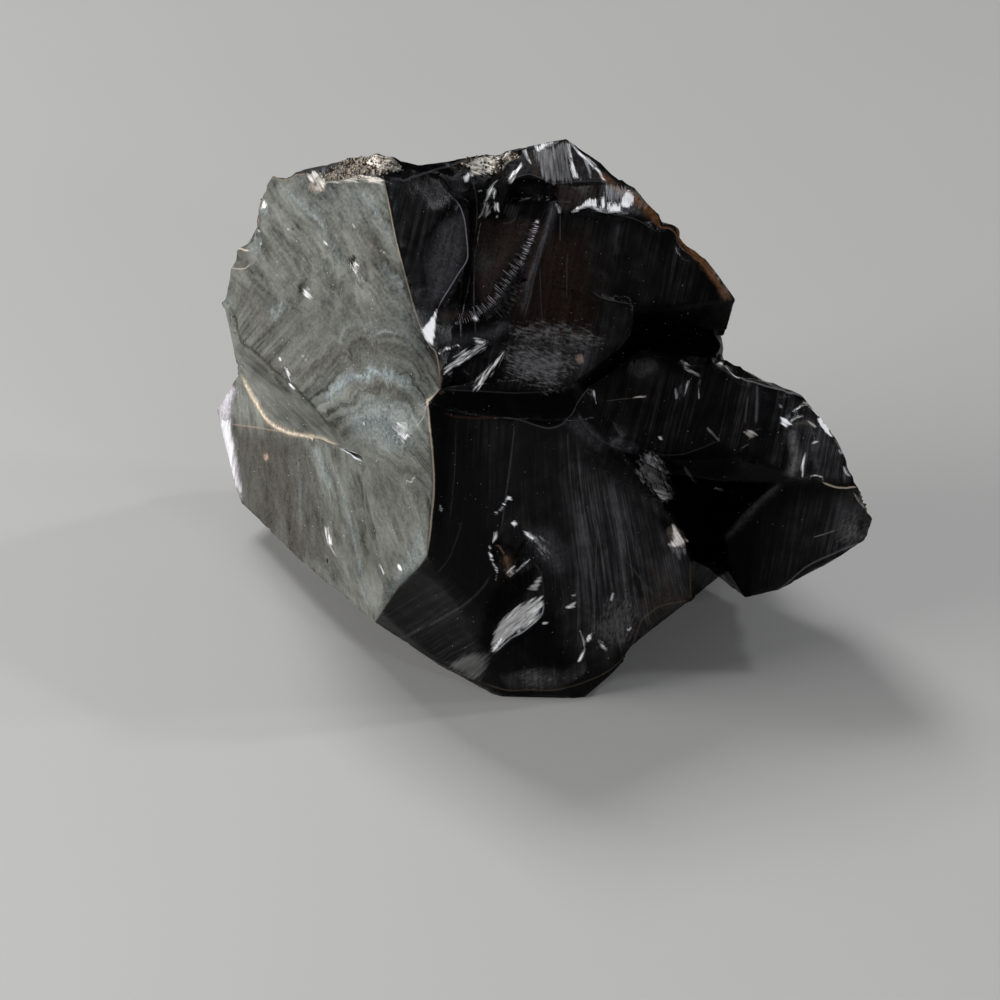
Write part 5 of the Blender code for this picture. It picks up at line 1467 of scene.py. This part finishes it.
def runNodes(piece, tree, values, name):
    # puts the tree's result in place of the piece, as a plain mesh without the modifier
    modifier = piece.modifiers.new("made", "NODES")
    modifier.node_group = tree
    for item in tree.interface.items_tree:
        if item.item_type == "SOCKET" and item.in_out == "INPUT" and item.name in values:
            modifier[item.identifier] = values[item.name]
    bpy.context.view_layer.update()
    evaluated = piece.evaluated_get(bpy.context.evaluated_depsgraph_get())
    finished = bpy.data.meshes.new_from_object(evaluated)
    piece.modifiers.clear()
    bpy.data.objects.remove(piece)
    finished.name = name
    made = plainObject(name, finished)
    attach(made, "root")
    print(name + ":", len(finished.polygons), "faces")


class Tree:
    # a short way to add and join geometry nodes
    def __init__(self, name, inputs):
        self.group = nodeGroup(name, inputs)
        self.start = self.group.nodes.new("NodeGroupInput")
        self.end = self.group.nodes.new("NodeGroupOutput")

    def add(self, kind, inputs=None, **settings):
        return addNode(self.group, kind, inputs or {}, settings)

    def random(self, low, high, seed):
        # a random place between two others for each thing
        inputs = {0: low, 1: high, "Seed": seed}
        return self.add("FunctionNodeRandomValue", inputs, data_type="FLOAT_VECTOR").outputs[0]

    def finish(self, geometry, material):
        real = self.add("GeometryNodeRealizeInstances", {"Geometry": geometry})
        painted = self.add("GeometryNodeSetMaterial", {"Geometry": real.outputs[0], "Material": material})
        self.group.links.new(painted.outputs[0], self.end.inputs[0])
        return self.group


grains = {
    "apart": 0.0003,  # m, the least distance between two
    "density": 9000000.0,  # at most this many on a square metre
    "small": 0.4,  # times the radius
    "large": 1.5,
    "radius": 0.00017,  # m
    "seed": 11,
}

dust = {
    "apart": 0.0008,
    "density": 90000.0,
    "small": 0.25,
    "large": 1.0,
    "radius": 0.00006,
    "seed": 5,
}

flecks = dict(dust, density=62000.0, seed=9, small=0.2, large=1.2)


def scatterTree(name):
    # small lumps spread over a surface, no two closer than the given distance
    numbers = [(label, "NodeSocketFloat") for label in ("Apart", "Density", "Radius", "Small", "Large")]
    tree = Tree(name, (*numbers, ("Seed", "NodeSocketInt"), ("Finish", "NodeSocketMaterial")))
    given = tree.start.outputs
    ground = {"Mesh": given["Geometry"], "Distance Min": given["Apart"]}
    ground |= {"Density Max": given["Density"], "Seed": given["Seed"]}
    spread = tree.add("GeometryNodeDistributePointsOnFaces", ground, distribute_method="POISSON")
    lump = tree.add("GeometryNodeMeshIcoSphere", {"Radius": given["Radius"], "Subdivisions": 1})
    sizes = {2: given["Small"], 3: given["Large"], "Seed": given["Seed"]}
    size = tree.add("FunctionNodeRandomValue", sizes, data_type="FLOAT").outputs[1]
    turn = tree.random((0.0, 0.0, 0.0), (6.28, 6.28, 6.28), given["Seed"])
    lumps = {"Points": spread.outputs["Points"], "Instance": lump.outputs[0], "Rotation": turn, "Scale": size}
    placed = tree.add("GeometryNodeInstanceOnPoints", lumps)
    return tree.finish(placed.outputs[0], given["Finish"])


def facesWithin(piece, outline, name, grow=0.0):
    # the faces towards the camera that are inside an outline in the frame, as a mesh of their own
    made = bmesh.new()
    made.from_mesh(piece.data)
    made.faces.ensure_lookup_table()
    middles = np.array([f.calc_center_median() for f in made.faces]) / mm
    toCamera = np.array(viewpoint["place"]) - middles
    facing = np.array([f.normal for f in made.faces])
    towards = (facing * toCamera).sum(axis=1) > 0
    inside = insideDepth(frameOf(middles), outline) > -grow
    unwanted = [made.faces[i] for i in np.where(~(inside & towards))[0]]
    bmesh.ops.delete(made, geom=unwanted, context="FACES")
    cut = bpy.data.meshes.new(name)
    made.to_mesh(cut)
    made.free()
    return plainObject(name, cut)


def grainMaterial():
    made = bpy.data.materials.new("crust_grain")
    n = Nodes(made)
    place = n.add("ShaderNodeTexCoord").outputs["Object"]
    patch = n.between(n.noise(place, 1700.0, 2.0, 0.7), 0.42, 0.56)
    shade = n.mix(patch, (0.03, 0.025, 0.021), (0.42, 0.36, 0.28))
    n.finish({"Base Color": shade, "Roughness": 0.8})
    return made


def treeValues(settings, material):
    # the dictionary's numbers under the names of the tree's inputs
    return {"Finish": material} | {key.capitalize(): value for key, value in settings.items()}


def scatter(name, outline, settings, material, grow=0.0):
    ground = facesWithin(stonePiece, outline, name + "_ground", grow)
    runNodes(ground, scatterTree(name), treeValues(settings, material), name)


crustFinish = grainMaterial()
scatter("crust_grains", patches["crust"][0], grains, crustFinish, 1.0)
scatter("crust_grains_right", patches["crustRight"][0], dict(grains, seed=3), crustFinish)
dustFinish = plainMaterial("dust", (0.4, 0.4, 0.42), 0.8)
scatter("dust_specks", flow["darkOutline"], dust, dustFinish)
fleckFinish = plainMaterial("fleck_white", (0.85, 0.86, 0.86), 0.5)
scatter("pale_flecks", flow["leftOutline"], flecks, fleckFinish)


ribs = {
    # the path is in the frame, the sizes are in metres
    "path": ((538, 221), (531, 240), (523, 257), (513, 273), (503, 288), (492, 302), (480, 313),
        (468, 319), (456, 322)),
    "count": 58,
    "length": 0.0014,
    "width": 0.00008,
    "height": 0.00009,
    "small": (0.2, 0.5, 0.5),  # each rib is these to the next times its sizes
    "large": (1.25, 1.3, 1.2),
    "aside": (0.0005, 0.0001, 0.0),  # and lies up to this far off the path
    "seed": 8,
}


def ribTree():
    # thin ribs laid square to a path, of uneven size
    numbers = [(label, "NodeSocketInt") for label in ("Count", "Seed")]
    numbers += [(label, "NodeSocketFloat") for label in ("Length", "Width", "Height")]
    numbers += [(label, "NodeSocketVector") for label in ("Small", "Large", "Aside")]
    tree = Tree("ribs_along_arc", (*numbers, ("Finish", "NodeSocketMaterial")))
    given = tree.start.outputs
    curve = tree.add("GeometryNodeMeshToCurve", {"Mesh": given["Geometry"]})
    path = tree.add("GeometryNodeResampleCurve", {"Curve": curve.outputs[0], "Count": given["Count"]})
    direction = tree.add("GeometryNodeInputTangent").outputs[0]
    upright = tree.add("GeometryNodeInputNamedAttribute", {"Name": "out"}, data_type="FLOAT_VECTOR")
    aimed = tree.add("FunctionNodeAlignRotationToVector", {"Vector": upright.outputs[0]}, axis="Z")
    turns = {"Rotation": aimed.outputs[0], "Vector": direction}
    squared = tree.add("FunctionNodeAlignRotationToVector", turns, axis="Y", pivot_axis="Z")
    size = tree.add("ShaderNodeCombineXYZ", {"X": given["Length"], "Y": given["Width"], "Z": given["Height"]})
    rib = tree.add("GeometryNodeMeshIcoSphere", {"Radius": 0.5, "Subdivisions": 2})
    shaped = tree.add("GeometryNodeTransform", {"Geometry": rib.outputs[0], "Scale": size.outputs[0]})
    uneven = tree.random(given["Small"], given["Large"], given["Seed"])
    row = {"Points": path.outputs[0], "Instance": shaped.outputs[0], "Rotation": squared.outputs[0]}
    placed = tree.add("GeometryNodeInstanceOnPoints", row | {"Scale": uneven})
    other = tree.add("ShaderNodeVectorMath", {0: given["Aside"], "Scale": -1.0}, operation="SCALE").outputs[0]
    aside = tree.random(other, given["Aside"], given["Seed"])
    moves = {"Instances": placed.outputs[0], "Translation": aside, "Local Space": True}
    shifted = tree.add("GeometryNodeTranslateInstances", moves)
    return tree.finish(shifted.outputs[0], given["Finish"])


def ontoStone(path):
    # points of the frame path where they meet the stone, with the face directions there
    tree = BVHTree.FromObject(stonePiece, bpy.context.evaluated_depsgraph_get())
    ahead, across, upward = cameraAxes()
    place = Vector(viewpoint["place"]) * mm
    met = []
    for x, y in smoothLine(path):
        right, below = x - viewpoint["middle"][0], y - viewpoint["middle"][1]
        ray = ahead + across * right / frameScale - upward * below / frameScale
        hit = tree.ray_cast(place, Vector(ray).normalized())
        if hit[0] is not None:
            met.append((hit[0], hit[1]))
    return met


def makeRibs(material):
    met = ontoStone(ribs["path"])
    outward = np.array([out for place, out in met], np.float32)
    path = bpy.data.meshes.new("rib_path")
    path.from_pydata([place for place, out in met], [(i, i + 1) for i in range(len(met) - 1)], [])
    path.attributes.new("out", "FLOAT_VECTOR", "POINT").data.foreach_set("vector", outward.ravel())
    runNodes(plainObject("rib_path", path), ribTree(), treeValues(ribs, material), "arc_ribs")


makeRibs(plainMaterial("rib_gleam", (0.36, 0.34, 0.40), 0.3))


# Floor, light and camera

studio = {
    "floor": (0.56, 0.56, 0.55),
    "floorHalf": 3.0,  # m
    "floorDrop": 0.00005,  # m below the stone's flat base
    "world": 0.12,
    "lights": {
        # place in mm, size in mm, watts, colour, what it points at in mm
        "leftKey": ((-620, -190, 150), (420, 260), 5.2, (1.0, 0.99, 0.97), (0, 0, 35)),
        "overhead": ((-480, 520, 950), (420, 420), 6.5, (1.0, 1.0, 1.0), (0, 0, 0)),
        "crownStrip": ((376, 33, 516), (45, 45), 0.4, (0.95, 0.96, 1.0), (0, 0, 60)),
        "sideStrip": ((564, 0, 255), (50, 50), 0.4, (0.95, 0.96, 1.0), (8, 0, 60)),
        "frontStrip": ((270, -467, 313), (50, 50), 0.25, (0.95, 0.96, 1.0), (20, -8, 40)),
    },
}


def addFloor():
    mesh = bpy.data.meshes.new("floor")
    half = studio["floorHalf"]
    corners = ((-half, -half, 0), (half, -half, 0), (half, half, 0), (-half, half, 0))
    mesh.from_pydata(corners, [], [(0, 1, 2, 3)])
    mesh.materials.append(plainMaterial("pale_floor", studio["floor"], 0.55))
    made = plainObject("floor", mesh)
    made.location.z = -studio["floorDrop"]


def addLights():
    world = bpy.data.worlds.new("soft_room")
    bpy.context.scene.world = world
    world.use_nodes = True
    background = world.node_tree.nodes["Background"].inputs
    background["Color"].default_value = (1, 1, 1, 1)
    background["Strength"].default_value = studio["world"]
    for name, (place, size, watts, colour, aim) in studio["lights"].items():
        data = bpy.data.lights.new(name, "AREA")
        data.shape = "RECTANGLE"
        data.size, data.size_y = size[0] * mm, size[1] * mm
        data.energy = watts
        data.color = colour
        made = plainObject(name, data)
        made.location = Vector(place) * mm
        made.rotation_euler = (Vector(aim) - Vector(place)).to_track_quat("-Z", "Y").to_euler()


addFloor()
addLights()
addCamera()
bpy.context.scene.view_settings.view_transform = "Standard"
print("floor, lights and camera ready")
